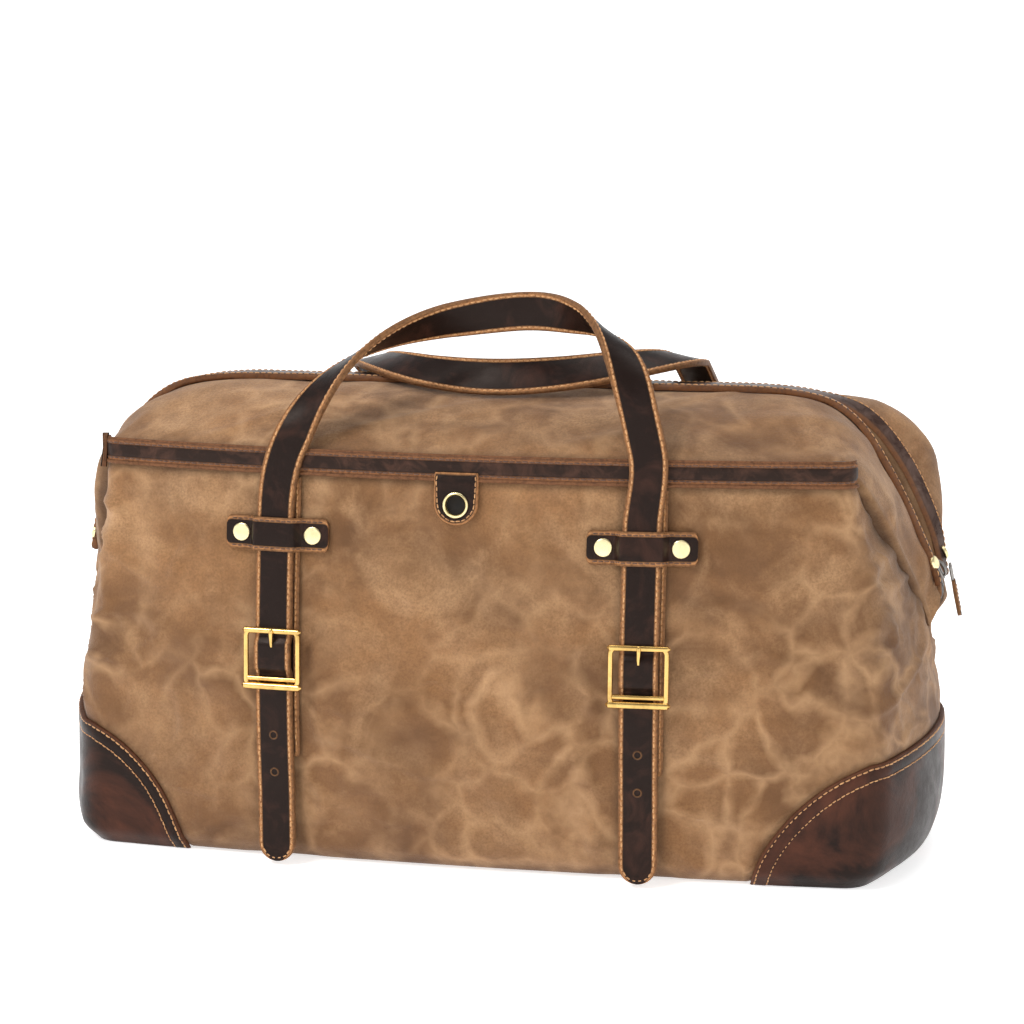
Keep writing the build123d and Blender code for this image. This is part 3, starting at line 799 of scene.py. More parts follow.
def top_point(t, away, up_by, side):
    """Point on the top at a distance from the ridge, raised off the cloth."""
    r, down, length, up, along = slope_at(t, side)
    q = min(max(away / length, 0), 1)
    return r + down * away + up * (TOP_THICK + top_rise(t, q, side) + up_by), up


def top_panel(side):
    mesh = Mesh()
    across = 40
    outer_rows = []
    for t in TOP_STEPS:
        r, down, length, up, along = slope_at(t, side)
        outer, inner = [], []
        wing = 1 - middle_of_top(t)
        for j in range(across + 1):
            q = j / across
            away = between(between(5.4, 3.0, 1 - wing), length, q)
            rise = top_rise(t, away / length, side)
            p = r + down * away
            calm = ease(q / 0.16) * ease((1 - q) / 0.12)
            drag = (p.x * 0.55 + p.y * side * 0.9, p.y * 0.4, p.z * 0.6)
            fold = 1 - abs(2.3 * wobble(drag, 44, 2.2))
            creases = 1.9 * wobble(p, 58, 8.8) + 1.5 * ease((fold - 0.5) / 0.5) + 0.5 * wobble(p, 17, 0.4)
            lift = calm * creases
            # Painted shade along the ridge beside the binding and along the eave.
            shade = max(0.55 * ease(1 - q / 0.14), 0.5 * ease(1 - (1 - q) / 0.05) * (1 - wing),
                        0.25 * wing * ease(1 - (1 - q) / 0.08))
            outer.append((p + up * (TOP_THICK + rise + lift), 0, shade))
            inner.append((p + up * (rise - 0.4 - 13 * wing * ease((q - 0.5) / 0.5)), 0, 1))
        fold_edge = outer[-1][0]
        # Rows that turn the wing's edge under carry painted shade, darkest inside.
        for drop, depth, shade in ((1.6, 1.3, 0.35), (1.2, 1.6 + 4 * wing, 0.75), (-1.0, 2.0 + 9 * wing, 1)):
            outer.append((fold_edge + down * drop - up * depth, 0, shade))
        outer_rows.append(outer + inner[::-1])
    mesh.solid(outer_rows, flip=side > 0)
    place = "front" if side < 0 else "back"
    return mesh.build(f"top_{place}", CANVAS, "bag", (f"top_panel_{place}",), "canvas", angle=60)


def binding(side, start, width, thick, name, node):
    """Folded leather beside the zip, with raw edges and a seam."""
    mesh = Mesh()
    half = width / 2
    flank = [(half, 0.1, 1, 0.3), (half + 0.1, 0.5, 1, 0), (half - 0.7, 0.92, 0.8, 0),
             (half - 1.6, 1.0, 0.2, 0.3), (half * 0.62, 1.06, 0, 0), (half * 0.25, 1.12, 0, 0)]
    section = flank + [(-a, b, e, s) for a, b, e, s in reversed(flank)]
    section += [(-half * 0.4, 0.0, 0, 1), (half * 0.4, 0.0, 0, 1)]
    stations = []
    for t in TOP_STEPS:
        if not 0.8 <= t <= LAST - 0.75:
            continue
        body = middle_of_top(t)
        slim = between(0.55 if side > 0 else 0.8, 1.0, body)
        middle = between(5.8, start, body) + half * slim
        p, up = top_point(t, middle, 0.1, side)
        q, _ = top_point(t, middle + 1.0, 0.1, side)
        across = (q - p).normalized()
        p += up * 0.35 * wobble(p, 26, 6.1)
        stations.append((p, across, up, slim, thick))
    ribbon(mesh, stations, section)
    path = [(c + a * (half - 2.0) * k + n * (thick + 0.15), n) for c, a, n, k, _ in stations]
    stitches(thread, path, 4.4, 0.42)
    return mesh.build(name, TRIM, "bag", (node,), "leather", angle=60)


def zip_chain():
    mesh = Mesh()
    path = []
    for t in TOP_STEPS:
        r, _, _, _, along = slope_at(t, -1)
        path.append((r, Vector((-along.z, 0, along.x))))
    marks = resample(path, 2.9)
    for k, ((p, n), (q, _)) in enumerate(zip(marks, marks[1:])):
        along = (q - p).normalized()
        hand = 1 if k % 2 else -1
        side = Vector((0, hand, 0))
        rows = []
        for a, w, h in ((-0.3, 0.55, 0.5), (0.1, 0.95, 0.9), (0.6, 1.0, 1.0), (1.6, 0.95, 0.95),
                        (2.6, 0.8, 0.6)):
            c = p + side * a + n * (TOP_THICK - 0.4)
            rows.append([(c + along * (x * w * 0.95) + n * (z * h * 0.8), 0, 0)
                         for x, z in ((-1, -0.6), (-1, 0.6), (-0.5, 1), (0.5, 1), (1, 0.6), (1, -0.6),
                                      (0, -1))])
        mesh.solid(rows)
    mesh.build("zip_teeth", STEEL, "bag", ("zip_chain",), "zip_metal", angle=35)
    tape = Mesh()
    rows = []
    for p, n in resample(path, 6):
        rows.append([(p + Vector((0, y, 0)) + n * (TOP_THICK - 1.4 + h), 0, 0)
                     for y, h in ((-8, -1.8), (-4.5, 0.1), (0, 0.5), (4.5, 0.1), (8, -1.8), (4.5, -1.2),
                                  (0, -0.9), (-4.5, -1.2))])
    tape.solid(rows)
    tape.build("zip_tapes", TAPE, "bag", ("zip_tape_front", "zip_tape_back"), "zip_cloth")


def zip_ends():
    """Leather tabs over the wing tips, stops, and rivets through the bindings' lower ends."""
    stops = Mesh()
    rivets = Mesh()
    for t, name in ((float(LAST), "right"), (0.0, "left")):
        hand = 1 if name == "right" else -1
        mesh = Mesh()
        section = strap_section(half=8.5, thick=3.0, groove=2.0, crown=0.5)
        stations = []
        for k in range(15):
            f = k / 14
            tt = t - hand * 0.95 * (1 - f) if k < 12 else t
            r, _, _, _, along = slope_at(min(max(tt, 0), LAST), -1)
            n = Vector((-along.z, 0, along.x))
            if n.x * hand < 0:
                n = -n
            tuck = ease((f - 0.7) / 0.3)
            p = r + n * (TOP_THICK + 1.4 - 2.5 * tuck) + Vector((0, 0, -6 * tuck))
            wide = between(0.55, 1.0, ease(f / 0.3)) * between(1.0, 0.62, ease((f - 0.75) / 0.25))
            stations.append((p, Vector((0, 1, 0)), n, wide, 1.0))
        ribbon(mesh, stations[6:], section)
        mesh.build(f"zip_end_{name}", LEATHER, "bag", (f"zip_end_tab_{name}",), "leather", angle=60)
        spot_t = t - hand * 1.25
        for side in (-1, 1):
            p, up = top_point(spot_t, 10.5, 4.6, side)
            lathe(rivets, p, up, [(0.2, 1.7, 0, 0), (3.0, 1.65, 0, 0), (4.1, 1.25, 0, 0), (4.6, 0.6, 0, 0),
                                  (4.6, -0.6, 0, 0), (0.2, -0.6, 0, 0)], 28)
        r, _, _, _, along = slope_at(t - hand * 0.2, -1)
        n = Vector((-along.z, 0, along.x))
        tube(stops, [r + n * (TOP_THICK + 1.6) - along * 1.6, r + n * (TOP_THICK + 1.9),
                     r + n * (TOP_THICK + 1.6) + along * 1.6], [1.2, 1.9, 1.2], 10)
    rivets.build("binding_rivets", PALE_BRASS, "bag", ("wing_rivets",), "brass")
    stops.build("zip_end_stops", STEEL, "bag", ("zip_stops",), "zip_metal")


def zip_hardware():
    low, high = [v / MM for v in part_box("zip_slider")]
    tip, knee = Vector((300, 0, 178)), Vector((260, 0, 257))
    along = (tip - knee).normalized()
    n = Vector((-along.z, 0, along.x))
    y = Vector((0, 1, 0))
    centre = (low + high) / 2
    base = centre - n * ((centre - tip).dot(n) - 3.4)
    mesh = Mesh()

    def plate(height, thick, fat):
        rows = []
        for f, w in ((0.0, 0.45), (0.03, 0.7), (0.1, 0.9), (0.3, 1.0), (0.55, 0.98), (0.8, 0.8),
                     (0.94, 0.66), (1, 0.5)):
            c = base + along * between(-7, 7, f) + n * height
            rows.append([(c + y * (a * 4.6 * w * fat) + n * (b * thick * (0.7 if f in (0.0, 1) else 1)), 0, 0)
                         for a, b in ((-1, 0), (-0.93, 0.7), (-0.7, 1), (0, 1.12), (0.7, 1), (0.93, 0.7),
                                      (1, 0), (0.93, -0.7), (0, -1), (-0.93, -0.7))])
        mesh.solid(rows)

    plate(1.0, 0.9, 1.0)
    plate(4.4, 0.9, 1.0)
    post = [base + along * a + n * h for a, h in ((-5.2, 4.6), (-5.0, 6.2), (-3.4, 7.4), (0, 7.9),
                                                  (3.4, 7.4), (5.0, 6.2), (5.2, 4.6))]
    tube(mesh, post, 1.1, 12, flat=1.3)
    tube(mesh, [base + along * -4.5 + n * h for h in (0.5, 2.5, 4.6)], 2.0, 12)
    mesh.build("slider", STEEL, "slider", ("zip_slider",), "zip_metal")

    low, high = [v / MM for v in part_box("zip_pull_tab")]
    tilt = math.radians(11)
    down = Vector((math.sin(tilt), 0, -math.cos(tilt)))
    out = Vector((math.cos(tilt), 0, math.sin(tilt)))
    middle = (low + high) / 2
    link_low, link_high = [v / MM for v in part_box("zip_pull")]
    link_mid = (link_low + link_high) / 2
    link = Mesh()
    loop = []
    for k in range(28):
        a = math.tau * k / 28
        loop.append(link_mid + y * (2.9 * math.copysign(abs(math.cos(a)) ** 0.7, math.cos(a)))
                    + down * (5.4 * math.copysign(abs(math.sin(a)) ** 0.8, math.sin(a))))
    tube(link, loop, 0.95, 10, closed=True, up=out)
    link.build("pull_link", STEEL, "pull", ("zip_pull",), "zip_metal")
    tab = Mesh()
    seam = Mesh()
    section = strap_section(half=4.7, thick=2.4, groove=1.4, crown=0.3)
    stations = []
    for k in range(22):
        f = k / 21
        wide = rounded(f, 0.12, 0.16, 0.02)
        curl = 0.3 * ease((f - 0.35) / 0.65)
        p = middle + down * between(-13.4, 12, f) + out * (curl + 0.3)
        stations.append((p, Vector((0, 1, 0)) * (0.62 + 0.38 * ease((f - 0.05) / 0.4)), out, wide, 1.0))
    ribbon(tab, stations, section)
    for hand in (-1, 1):
        stitches(seam, seam_of(stations[3:-3], hand * 3.3, 1.3), 3.0, 0.32)
    tab.build("pull_leather", LEATHER, "pull", ("zip_pull_tab",), "leather")
    seam.build("pull_seam", THREAD, "pull", (), "leather")


# ---------------------------------------------------------------- band and lock tab

def band_run():
    """Arc lengths at which the band ends, round the corner."""
    lengths = ring(270)[-1]
    return lengths[0] + lengths[1] + 1.0


def bands():
    for side, name in ((-1, "front"), (1, "back")):
        mesh = Mesh()
        stop = band_run()
        stations, low, high = [], [], []
        count = 240
        for k in range(count + 1):
            s = between(-stop, stop, k / count)
            if abs(s) < 1e-6:
                s = 1e-6
            p, n = skin(s, 270, 1.5, side)
            q, _ = skin(s, 274, 1.5, side)
            up = (q - p).normalized()
            wave = 0.25 * wobble(p, 30, 9.9)
            end = min(stop - abs(s), 4.0) / 4.0
            size = between(0.82, 1.0, math.sqrt(max(end, 0.0)))
            stations.append((p + n * wave, up, n, size, 1.0))
            low.append(skin(s, BAND_LOW + 0.1, 1.9 + wave, side)[0])
            high.append(skin(s, BAND_HIGH - 0.1, 1.5 + wave, side)[0])
        ribbon(mesh, stations, strap_section(half=7.6, thick=2.8, groove=2.4, crown=0.3))
        for path, radius in ((low, 1.55), (high, 1.0)):
            tube(mesh, path, radius * 0.85, 8, edge=0.6, shade=0.0, up=Vector((0, side, 0)))
        for offset in (5.15, -5.0):
            stitches(dark_thread, seam_of(stations[2:-2], offset, 1.45), 4.2, 0.42)
        corner = []
        for k in range(13):
            z = between(257.5, 280.5, k / 12)
            p, n = skin(-(stop - 2.5), z, 3.6, side)
            q, _ = skin(-(stop - 1.5), z, 3.6, side)
            across = (p - q).normalized()
            f = k / 12
            wide = rounded(f, 0.22, 0.2, 0.05)
            corner.append((p, across, n, wide, 1.0))
        ribbon(mesh, corner, strap_section(half=3.6, thick=3.0, groove=1.4, crown=0.8))
        mesh.build(f"band_{name}", BAND_LEATHER, "bag", (f"{name}_band",), "leather", angle=60)


def lock_flap():
    mid_z, half, drop, top = 246.0, 14.5, 13.0, 21.0
    p0, n = skin(0.001, mid_z, 0.8, -1)
    p1, _ = skin(0.001, mid_z + 8, 0.8, -1)
    up = (p1 - p0).normalized()
    n = Vector((0, -up.z, up.y)).normalized()
    side = Vector((1, 0, 0))
    hub = drop - half

    def rim(a):
        cx, cy = math.cos(a), math.sin(a)
        best = 60.0
        if abs(cx) > 1e-6:
            best = min(best, half / abs(cx))
        if cy > 1e-6:
            best = min(best, top / cy)
        if cy * best < -hub:
            b = -hub * cy
            best = b + math.sqrt(max(b * b - hub * hub + half * half, 0))
        return best

    mesh = Mesh()
    sides = 96
    rows = []
    # The rows round the hole carry painted shade, darkest on its wall.
    for inset, height, edge, shade in (("hole", -0.1, 0, 1), ("hole", 3.3, 0, 1), (8.8, 3.4, 0, 0.6),
                                       (0.34, 3.7, 0, 0), (3.1, 3.55, 0, 0.1), (2.3, 3.15, 0, 0.8),
                                       (1.6, 3.5, 0.2, 0.2), (0.8, 3.4, 0.8, 0),
                                       (0.1, 2.8, 1, 0), (0.0, 1.2, 1, 0), (0.3, 0.2, 0.8, 0.4)):
        row = []
        for k in range(sides):
            a = math.tau * k / sides
            outer = rim(a)
            if inset == "hole":
                r = 6.7
            elif inset == 8.8:
                r = 8.8
            elif inset == 0.34:
                r = between(8.8, outer - 3.1, 0.5) if outer - 3.1 > 8.8 else 8.8 + 0.2
            else:
                r = max(outer - inset, 9.0 + (3.1 - inset) * 0.4)
            row.append((p0 + side * (r * math.cos(a)) + up * (r * math.sin(a)) + n * height, edge, shade))
        rows.append(row)
    mesh.grid(rows, wrap=True, loop=True)
    flap = mesh.build("lock_leather", LEATHER, None, ("lock_tab",), "leather", angle=60)
    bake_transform(flap)
    seam = Mesh()
    path = []
    for k in range(61):
        a = math.radians(between(123, 417, k / 60))
        r = rim(a) - 2.3
        q = p0 + side * (r * math.cos(a)) + up * (r * math.sin(a)) + n * 3.3
        path.append((q, n))
    stitches(seam, path, 3.6, 0.42)
    sewn = seam.build("lock_seam", THREAD, None, (), "leather")
    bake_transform(sewn)
    # A near-black disc behind the eyelet: painted shadow seen through the hole.
    behind = Mesh()
    lathe(behind, p0, n, [(0.2, 0.9, 0, 0), (3.5, 0.7, 0, 0), (6.3, 0.9, 0, 0), (6.6, 0.5, 0, 0),
                          (6.6, 0.1, 0, 0), (0.2, 0.1, 0, 0)], 48)
    behind.build("eyelet_shadow_disc", HOLE_SHADOW, "lock_flap", (), "leather")
    eyelet = Mesh()
    lathe_ring(eyelet, p0, n, [(6.45, 0.2), (6.45, 3.6), (6.7, 4.5), (7.3, 4.95), (8.0, 4.8), (8.5, 4.2),
                               (8.5, 3.5), (7.0, 3.3), (7.0, 0.2)])
    eyelet.build("eyelet", PALE_BRASS, "lock_flap", ("lock_eyelet",), "brass")


def lathe_ring(mesh, origin, axis, profile, sides=56):
    ref = Vector((1, 0, 0))
    u = axis.cross(ref).normalized()
    v = axis.cross(u)
    rows = [[(origin + axis * h + (u * math.cos(t) + v * math.sin(t)) * r, 0, 0)
             for t in (math.tau * k / sides for k in range(sides))] for r, h in profile]
    mesh.grid(rows, wrap=True, loop=True)


# ---------------------------------------------------------------- straps and handles

def strap_station(x, z, out, side):
    p, n = skin(x, z, out, side)
    q, _ = skin(x, z + 3, out, side)
    up = (q - p).normalized()
    return p, up, n.cross(up).normalized(), n


def turned(v, axis, angle):
    return Matrix.Rotation(angle, 3, axis.normalized()) @ v


def handle_half(front, right):
    """Stations (point, travel, across) of one side, drawn on the left and going up."""
    lean_axis = Vector((1, 0, 0))
    if front:
        x, tilt, leg, turn, late, rise, lean = (-123.3, 14.1, 25.5, 107.5, 1.29, 8.0, 10.45) if right else \
            (-112.0, 24.4, 5.0, 173.5, 0.88, 9.85, 10.45)
        g, e = math.radians(tilt), math.radians(rise)
        travel = Vector((math.sin(g), 0, math.cos(g)))
        across = Vector((-math.cos(g), 0, math.sin(g)))
        spin = (travel + Vector((math.cos(e), 0, math.sin(e)))) * -1
        angle, point = math.pi, Vector((x, -117.5, 284))
    else:
        lean = 24.7
        x, leg, turn, late = (-127.0, 86.3, 154.3, 0.64) if right else (-106.0, 37.8, 191.7, 1.11)
        travel, across = Vector((0, -1, 0)), Vector((1, 0, 0))
        spin, angle, point = Vector((1, -1, 1)), math.radians(120), Vector((x, 117.5, 286))
    tip = -math.radians(lean)
    out = []

    def leaned(v):
        return turned(v, lean_axis, tip)

    steps = max(int(leg / 4), 2)
    for k in range(steps):
        out.append((point + leaned(travel) * (leg * k / steps), leaned(travel), leaned(across)))
    point = point + leaned(travel) * leg
    count = 54
    for k in range(count + 1):
        swing = angle * (k / count) ** late
        out.append((point.copy(), leaned(turned(travel, spin, swing)), leaned(turned(across, spin, swing))))
        half = angle * ((k + 0.5) / count) ** late
        point += leaned(turned(travel, spin, half)) * (turn / count)
    return out


def flip_x(v):
    return Vector((-v.x, v.y, v.z))


def drawn(half, move):
    """One half with its free end moved, and less of the move towards its start."""
    count = len(half) - 1
    return [(p + move * (i / count) ** 2, t, w) for i, (p, t, w) in enumerate(half)]


def handle_stations(front):
    """Stations of a whole handle: the two fitted halves drawn together and smoothed where they meet."""
    left, right = handle_half(front, False), handle_half(front, True)
    gap = (flip_x(right[-1][0]) - left[-1][0]) / 2
    left = drawn(left, gap)
    right = drawn(right, Vector((gap.x, -gap.y, -gap.z)))
    right = [(flip_x(p), flip_x(t) * -1, flip_x(w)) for p, t, w in reversed(right)]
    whole = left + right[1:]
    meet = len(left) - 1
    for _ in range(40):
        before = list(whole)
        for i in range(meet - 14, meet + 15):
            p, t, w = ((before[i - 1][k] + before[i][k] * 2 + before[i + 1][k]) / 4 for k in range(3))
            whole[i] = (p, t.normalized(), w.normalized())
    return whole


def to_station(p, t, w):
    return (p, w, t.cross(w).normalized(), 1.0, 1.0)


def strap_out(z):
    """How far the strap's middle stands off the canvas: it bows forward inside the buckle."""
    low, high = BUCKLE_Z
    hump = ease((z - low - 10) / 5.5) * ease((high - 5.5 - z) / 6.0)
    return STRAP_MID + 3.1 * hump


def strap_rise(x, side, handle_start):
    """Stations up one strap from the buckle to the handle's start."""
    out = []
    z = 122.0
    while z < 236:
        p, up, across, n = strap_station(x, z, strap_out(z), side)
        out.append((p, across, n, 1.0, 1.0))
        z += 1.6 if z < 164 else 3.0
    p, across, n = out[-1][0], out[-1][1], out[-1][2]
    up = across.cross(n)
    up = up if up.z > 0 else -up
    end, travel, end_across = handle_start
    end_n = travel.cross(end_across).normalized()
    gap = (end - p).length
    count = 20
    leave, arrive = (1.0, 1.0) if side < 0 else (1.25, 0.7)
    for k in range(1, count):
        f = k / count
        q = hermite(p, end, up * gap * leave, travel * gap * arrive, f)
        m = across.lerp(end_across, ease(f)).normalized()
        nn = n.lerp(end_n, ease(f if side < 0 else (f - 0.35) / 0.65)).normalized()
        m = (m - nn * m.dot(nn)).normalized()
        out.append((q, m, nn, 1.0, 1.0))
    return out


def straps_and_handle(side):
    front = side < 0
    loop = handle_stations(front)
    last = loop[-1]
    left = strap_rise(-STRAP_X, side, loop[0])
    right = strap_rise(-STRAP_X, side, (flip_x(last[0]), flip_x(last[1]) * -1, flip_x(last[2])))
    right = [(flip_x(c), flip_x(a), flip_x(n), sa, so) for c, a, n, sa, so in right]
    stations = left + [to_station(*s) for s in loop] + right[::-1]
    mesh = Mesh()
    ribbon(mesh, stations, strap_section())
    name = "front" if front else "back"
    piece = mesh.build(f"strap_handle_{name}", LEATHER, None,
                       (f"handle_{name}", f"strap_upper_{name}_left", f"strap_upper_{name}_right"), "leather",
                       angle=60)
    seams = Mesh()
    for sign in (-1, 1):
        for face in (1, -0.9):
            across_by, out_by = sign * (STRAP_HALF - STITCH_IN), face * STRAP_THICK / 2 - 0.2 * face
            way = 1 if face > 0 else -1
            path = [(c + a * across_by + n * out_by, n * way) for c, a, n, _, _ in stations]
            stitches(seams, path if face > 0 else path[36:-36], 4.0, 0.58)
    sewn = seams.build(f"strap_seam_{name}", THREAD, None, (), "leather")
    for obj in (piece, sewn):
        if front:
            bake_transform(obj)
        else:
            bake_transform(obj)


def strap_parts(side, x, tag):
    """Backing strip, tail, keeper, rivets and buckle of one strap."""
    backing = Mesh()
    stations = []
    shift = 3.2
    for k in range(66):
        z = between(75, 259, k / 65)
        p, up, across, n = strap_station(x + shift, z, 1.7, side)
        end = min(z - 75, 1.5) / 1.5
        stations.append((p, across, n, between(0.94, 1, end), 1.0))
    ribbon(backing, stations, strap_section(thick=2.2, crown=0.1))
    backing.build(f"backing_{tag}", LEATHER, "bag", (f"strap_backing_{tag}",), "leather", angle=60)
    stitches(thread, seam_side(stations[1:-1]), 4.2, 0.45)

    tail = Mesh()
    stations = []
    tip, top = TAIL_TIP_Z, 126.0
    heights = [tip + d for d in (0.12, 0.5, 1.2, 2.2, 3.6, 5.2, 7.2, 9.6, STRAP_HALF)]
    heights += [between(tip + STRAP_HALF + 2, top, k / 54) for k in range(55)]
    for z in heights:
        p, across, n = tail_station(x, z, side)
        d = min(z - tip, STRAP_HALF)
        wide = math.sqrt(max(STRAP_HALF ** 2 - (STRAP_HALF - d) ** 2, 0)) / STRAP_HALF
        stations.append((p, across, n, wide, between(0.8, 1.0, ease(d / 2.5))))
    ribbon(tail, stations, strap_section())
    piece = tail.build(f"tail_strap_{tag}", LEATHER, None, (f"strap_tail_{tag}",), "leather", angle=60)
    seams = Mesh()
    inset = STRAP_HALF - STITCH_IN
    path = []
    for k in range(56):
        z = between(122, tip + STRAP_HALF, k / 55)
        p, across, n = tail_station(x, z, side)
        path.append((p + across * inset + n * (STRAP_THICK / 2 - 0.2), n))
    for k in range(1, 32):
        a = math.pi * k / 32
        z = tip + STRAP_HALF - inset * math.sin(a)
        p, across, n = tail_station(x, z, side)
        path.append((p + across * (inset * math.cos(a)) + n * (STRAP_THICK / 2 - 0.2), n))
    for k in range(56):
        z = between(tip + STRAP_HALF, 122, k / 55)
        p, across, n = tail_station(x, z, side)
        path.append((p - across * inset + n * (STRAP_THICK / 2 - 0.2), n))
    stitches(seams, path, 4.0, 0.58)
    sewn = seams.build(f"tail_seam_{tag}", THREAD, None, (), "leather")
    # Each punched hole is a disc darkened in its middle by painted shadow.
    holes = Mesh()
    for z in (90, 65):
        p, across, n = tail_station(x, z, side)
        lathe(holes, p + n * (STRAP_THICK / 2 + 0.12), n,
              [(0.15, 0.2, 0, 1), (1.3, 0.22, 0, 1), (1.9, 0.34, 0, 0.9), (2.4, 0.66, 0.35, 0),
               (3.1, 0.5, 0.1, 0.2), (3.5, 0.1, 0, 0.6), (3.5, -0.5, 0, 0.6), (0.15, -0.5, 0, 1)], 28)
    punched = holes.build(f"tail_holes_{tag}", LEATHER, None, (), "leather")
    for obj in (piece, sewn, punched):
        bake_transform(obj)

    keeper = Mesh()
    stations = []
    half, tall, corner = 35.5, 11.1, 3.6
    for k in range(97):
        a = between(-half, half, k / 96)
        hump = ease((18.5 - abs(a)) / 6.0)
        p, n = skin(x + a, KEEPER_Z, 1.9 + 7.9 * hump, side)
        up = strap_station(x, KEEPER_Z, 0, side)[1]
        d = min(half - abs(a), corner)
        high = (tall - corner + math.sqrt(max(corner ** 2 - (corner - d) ** 2, 0))) / tall
        stations.append((p, up, n, max(high, 0.3), 1.0))
    ribbon(keeper, stations, strap_section(half=tall, thick=3.0, groove=2.2, crown=0.2))
    keeper.build(f"keeper_{tag}", LEATHER, "bag", (f"keeper_plate_{tag}",), "leather", angle=60)
    for sign in (-1, 1):
        stitches(dark_thread, seam_of(stations[5:-5], sign * (tall - 2.2), 1.45), 3.8, 0.42)
    caps = []
    for hand in (-1, 1):
        p, n = skin(x + hand * 24.75, KEEPER_Z, 3.5, side)
        caps.append((p, n))
    frame_mesh = buckle(x, side)
    frame_mesh.build(f"buckle_{tag}", BRASS, "bag", (f"buckle_frame_{tag}", f"buckle_tongue_{tag}"), "brass")
    return caps


def seam_side(stations):
    """The seam on the side of the backing strip that shows."""
    out = []
    for c, a, n, sa, so in stations:
        way = 1 if a.x > 0 else -1
        out.append((c + a * (way * (STRAP_HALF - STITCH_IN)) + n * 0.95, n))
    return out


def tail_station(x, z, side):
    """The tail lies on the swell of the canvas and hangs straight down below it."""
    p, _, across, n = strap_station(x, max(z, HANG_Z), STRAP_MID, side)
    return (p if z >= HANG_Z else Vector((p.x, p.y, z))), across, n


def buckle(x, side):
    low, high = BUCKLE_Z
    mid = (low + high) / 2
    p, up, across, n = strap_station(x, mid, STRAP_MID + 4.3, side)
    ex = up.cross(n).normalized()
    mesh = Mesh()

    def at(a, z, h=0.0):
        return p + ex * a + up * (z - mid) + n * h

    half, corner = 18.0, 4.0
    bottom, top = low + 2.2, high - 2.0
    loop = []
    for cx, cz, a0 in ((half - corner, top - corner, 0), (-half + corner, top - corner, 90),
                       (-half + corner, bottom + corner, 180), (half - corner, bottom + corner, 270)):
        for k in range(9):
            a = math.radians(a0 + 90 * k / 8)
            loop.append(at(cx + corner * math.cos(a), cz + corner * math.sin(a)))
    dense = []
    for a, b in zip(loop, loop[1:] + loop[:1]):
        steps = max(int((b - a).length / 3), 1)
        dense += [a.lerp(b, k / steps) for k in range(steps)]
    tube(mesh, dense, 1.7, 14, closed=True, up=n)

    def bar(z, reach_x, radius, bow=0.0, h=0.0):
        path, radii = [], []
        for k in range(25):
            f = k / 24
            path.append(at(between(-reach_x, reach_x, f), z, h + bow * math.sin(math.pi * f)))
            end = min(f, 1 - f) * 2 * reach_x
            radii.append(radius * math.sqrt(max(1 - (1 - min(end / radius, 1)) ** 2, 0.03)))
        tube(mesh, path, radii, 14, up=n)

    bar(top, 20.4, 2.1, 0.0)
    bar(bottom, 20.8, 2.4, 0.2, 0.4)
    bar(bottom + 5.0, 18.0, 1.7, 0.3)
    curve = ((0.3, 1.4, 2.0), (0.3, -0.5, 2.6), (0.2, -3.5, 2.2), (0, -7, 1.4), (0, -10.5, 1.0))
    tongue = [at(a, top + rise, out) for a, rise, out in curve]
    tube(mesh, tongue, [1.0, 1.5, 1.35, 1.2, 0.8], 10, up=ex)
    return mesh


def all_straps():
    for side, name in ((-1, "front"), (1, "back")):
        straps_and_handle(side)
        rivets = Mesh()
        for x, wing in ((-STRAP_X, "left"), (STRAP_X, "right")):
            for p, n in strap_parts(side, x, f"{name}_{wing}"):
                lathe(rivets, p, n, [(0.2, 1.1, 0, 0), (5.1, 1.05, 0, 0), (5.7, 0.85, 0, 0), (6.0, 0.4, 0, 0),
                                     (6.0, -0.2, 0, 0), (5.2, -0.8, 0, 0), (0.2, -0.8, 0, 0)], 44)
        rivets.build(f"rivets_{name}", PALE_BRASS, "bag", (f"keeper_rivets_{name}",), "brass")


# ---------------------------------------------------------------- inside

def inside():
    """Lining that follows the canvas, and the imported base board's finish."""
    mesh = Mesh()
    rows = []
    for r in range(30):
        z = between(9.5, 150, r / 29)
        row = []
        for hand, side, k in around(40):
            p, n = skin(hand * max(k / 40 * reach(z), 1e-6), z, -9, side)
            row.append((p + n * 1.2 * wobble(p, 60, 2.0), 0, 0))
        rows.append(row)
    inner = [[(Vector((p.x * 0.994, p.y * 0.99, p.z)), 0, 0) for p, _, _ in row] for row in rows]
    mesh.grid(rows + inner[::-1], wrap=True, loop=True)
    mesh.build("lining_sheet", INSIDE, "bag", ("lining",), "lining_cloth", weld=0.01)
    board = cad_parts["base_board"]
    board.data.materials.clear()
    board.data.materials.append(BOARD)


# ---------------------------------------------------------------- stage

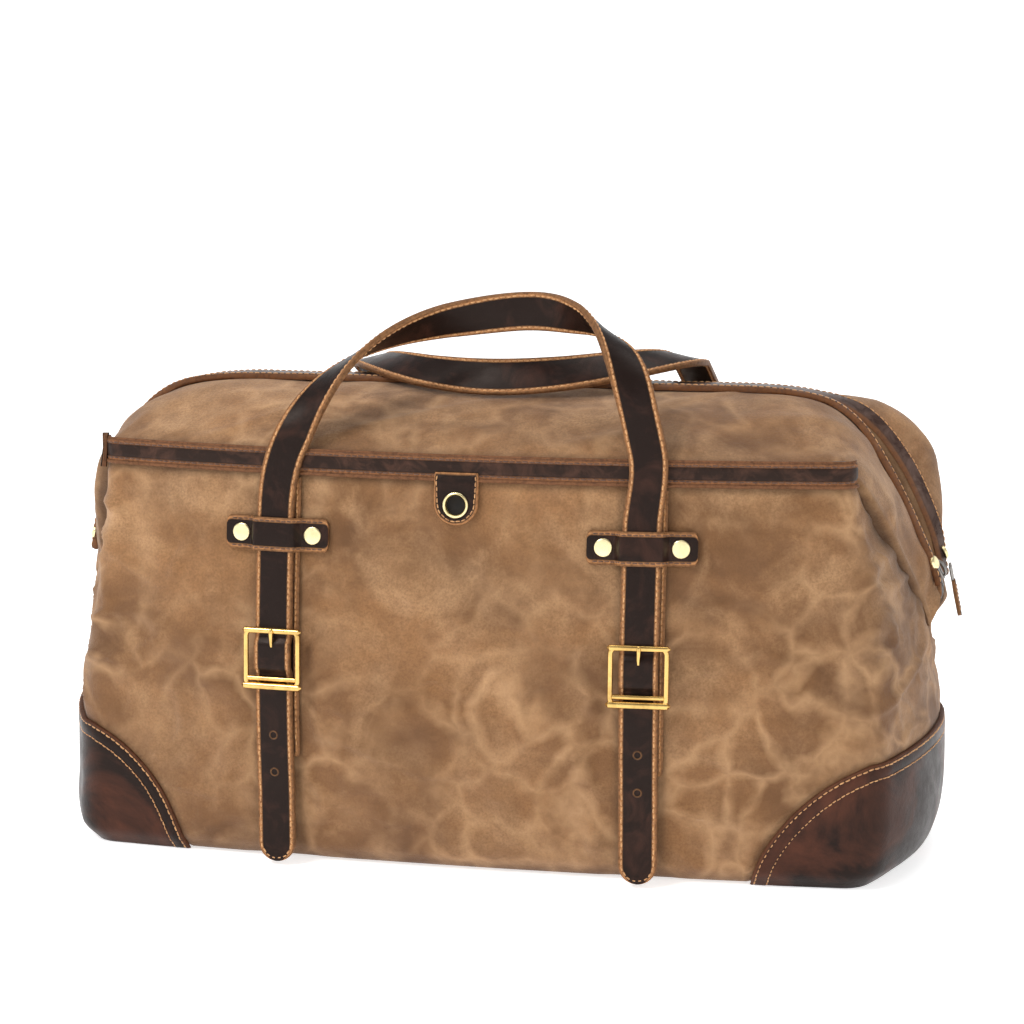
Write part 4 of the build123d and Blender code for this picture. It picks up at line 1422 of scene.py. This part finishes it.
def stage():
    dish = Mesh()
    rows = []
    for radius, height in ((1, 0), (2, 0), (5, 0), (8, 0), (10, 0.12), (11.5, 0.6), (12.6, 1.6),
                           (13.2, 3.2), (13.4, 6)):
        rows.append([(Vector((radius * math.cos(a), radius * math.sin(a), height)) * 1000, 0, 0)
                     for a in (math.tau * k / 96 for k in range(96))])
    dish.cap(dish.grid(rows, wrap=True)[0])
    f = Finish("floor_paint")
    color = f.mix(f.span(f.noise(3, 2), 0.3, 0.7, 0.0, 1.0), srgb(246, 246, 246), srgb(248, 248, 248))
    f.shader.inputs["Emission Color"].default_value = (1, 1, 1, 1)
    rough = f.span(f.noise(2, 2), 0.3, 0.7, 0.7, 0.8)
    floor = dish.build("floor", f.done(color, rough, Emission_Strength=0.63, Specular_IOR_Level=0.0))
    world = bpy.data.worlds.new("studio")
    bpy.context.scene.world = world
    world.use_nodes = True
    back = world.node_tree.nodes["Background"]
    back.inputs[0].default_value = (1, 1, 1, 1)
    back.inputs[1].default_value = 0.38
    aim = Vector((0, 0, 0.16))
    for name, where, power, size in (("key", (-1.3, -1.7, 2.5), 50, 1.1), ("fill", (2.2, -1.6, 1.3), 5, 2.0),
                                     ("top", (0.2, 0.5, 2.6), 26, 1.8)):
        lamp = bpy.data.lights.new(name, "AREA")
        lamp.energy, lamp.size = power, size
        obj = bpy.data.objects.new(name, lamp)
        obj.location = where
        obj.rotation_euler = (aim - Vector(where)).to_track_quat("-Z", "Y").to_euler()
        bpy.context.scene.collection.objects.link(obj)


def camera():
    lens = bpy.data.cameras.new("camera")
    lens.sensor_width, lens.lens = 36.0, 102.6
    azimuth, elevation, distance = math.radians(12.3), math.radians(10.2), 2.0
    aim = Vector((0.0098, 0, 0.2203))
    level = math.cos(elevation)
    back = Vector((math.sin(azimuth) * level, -math.cos(azimuth) * level, math.sin(elevation)))
    obj = bpy.data.objects.new("camera", lens)
    obj.location = aim + back * distance
    obj.rotation_euler = (-back).to_track_quat("-Z", "Y").to_euler()
    bpy.context.scene.collection.objects.link(obj)
    bpy.context.scene.camera = obj


bpy.context.scene.view_settings.view_transform = "Standard"
camera()
stage()
canvas_body()
guards()
for side in (-1, 1):
    top_panel(side)
binding(-1, 3.6, 10.0, 4.8, "binding_front", "zip_binding_front")
binding(1, 3.6, 17.0, 3.4, "binding_back", "zip_binding_back")
zip_chain()
zip_ends()
zip_hardware()
bands()
lock_flap()
all_straps()
inside()
thread.build("body_seams", THREAD, "bag", (), "leather")
dark_thread.build("dark_seams", DARK_THREAD, "bag", (), "leather")
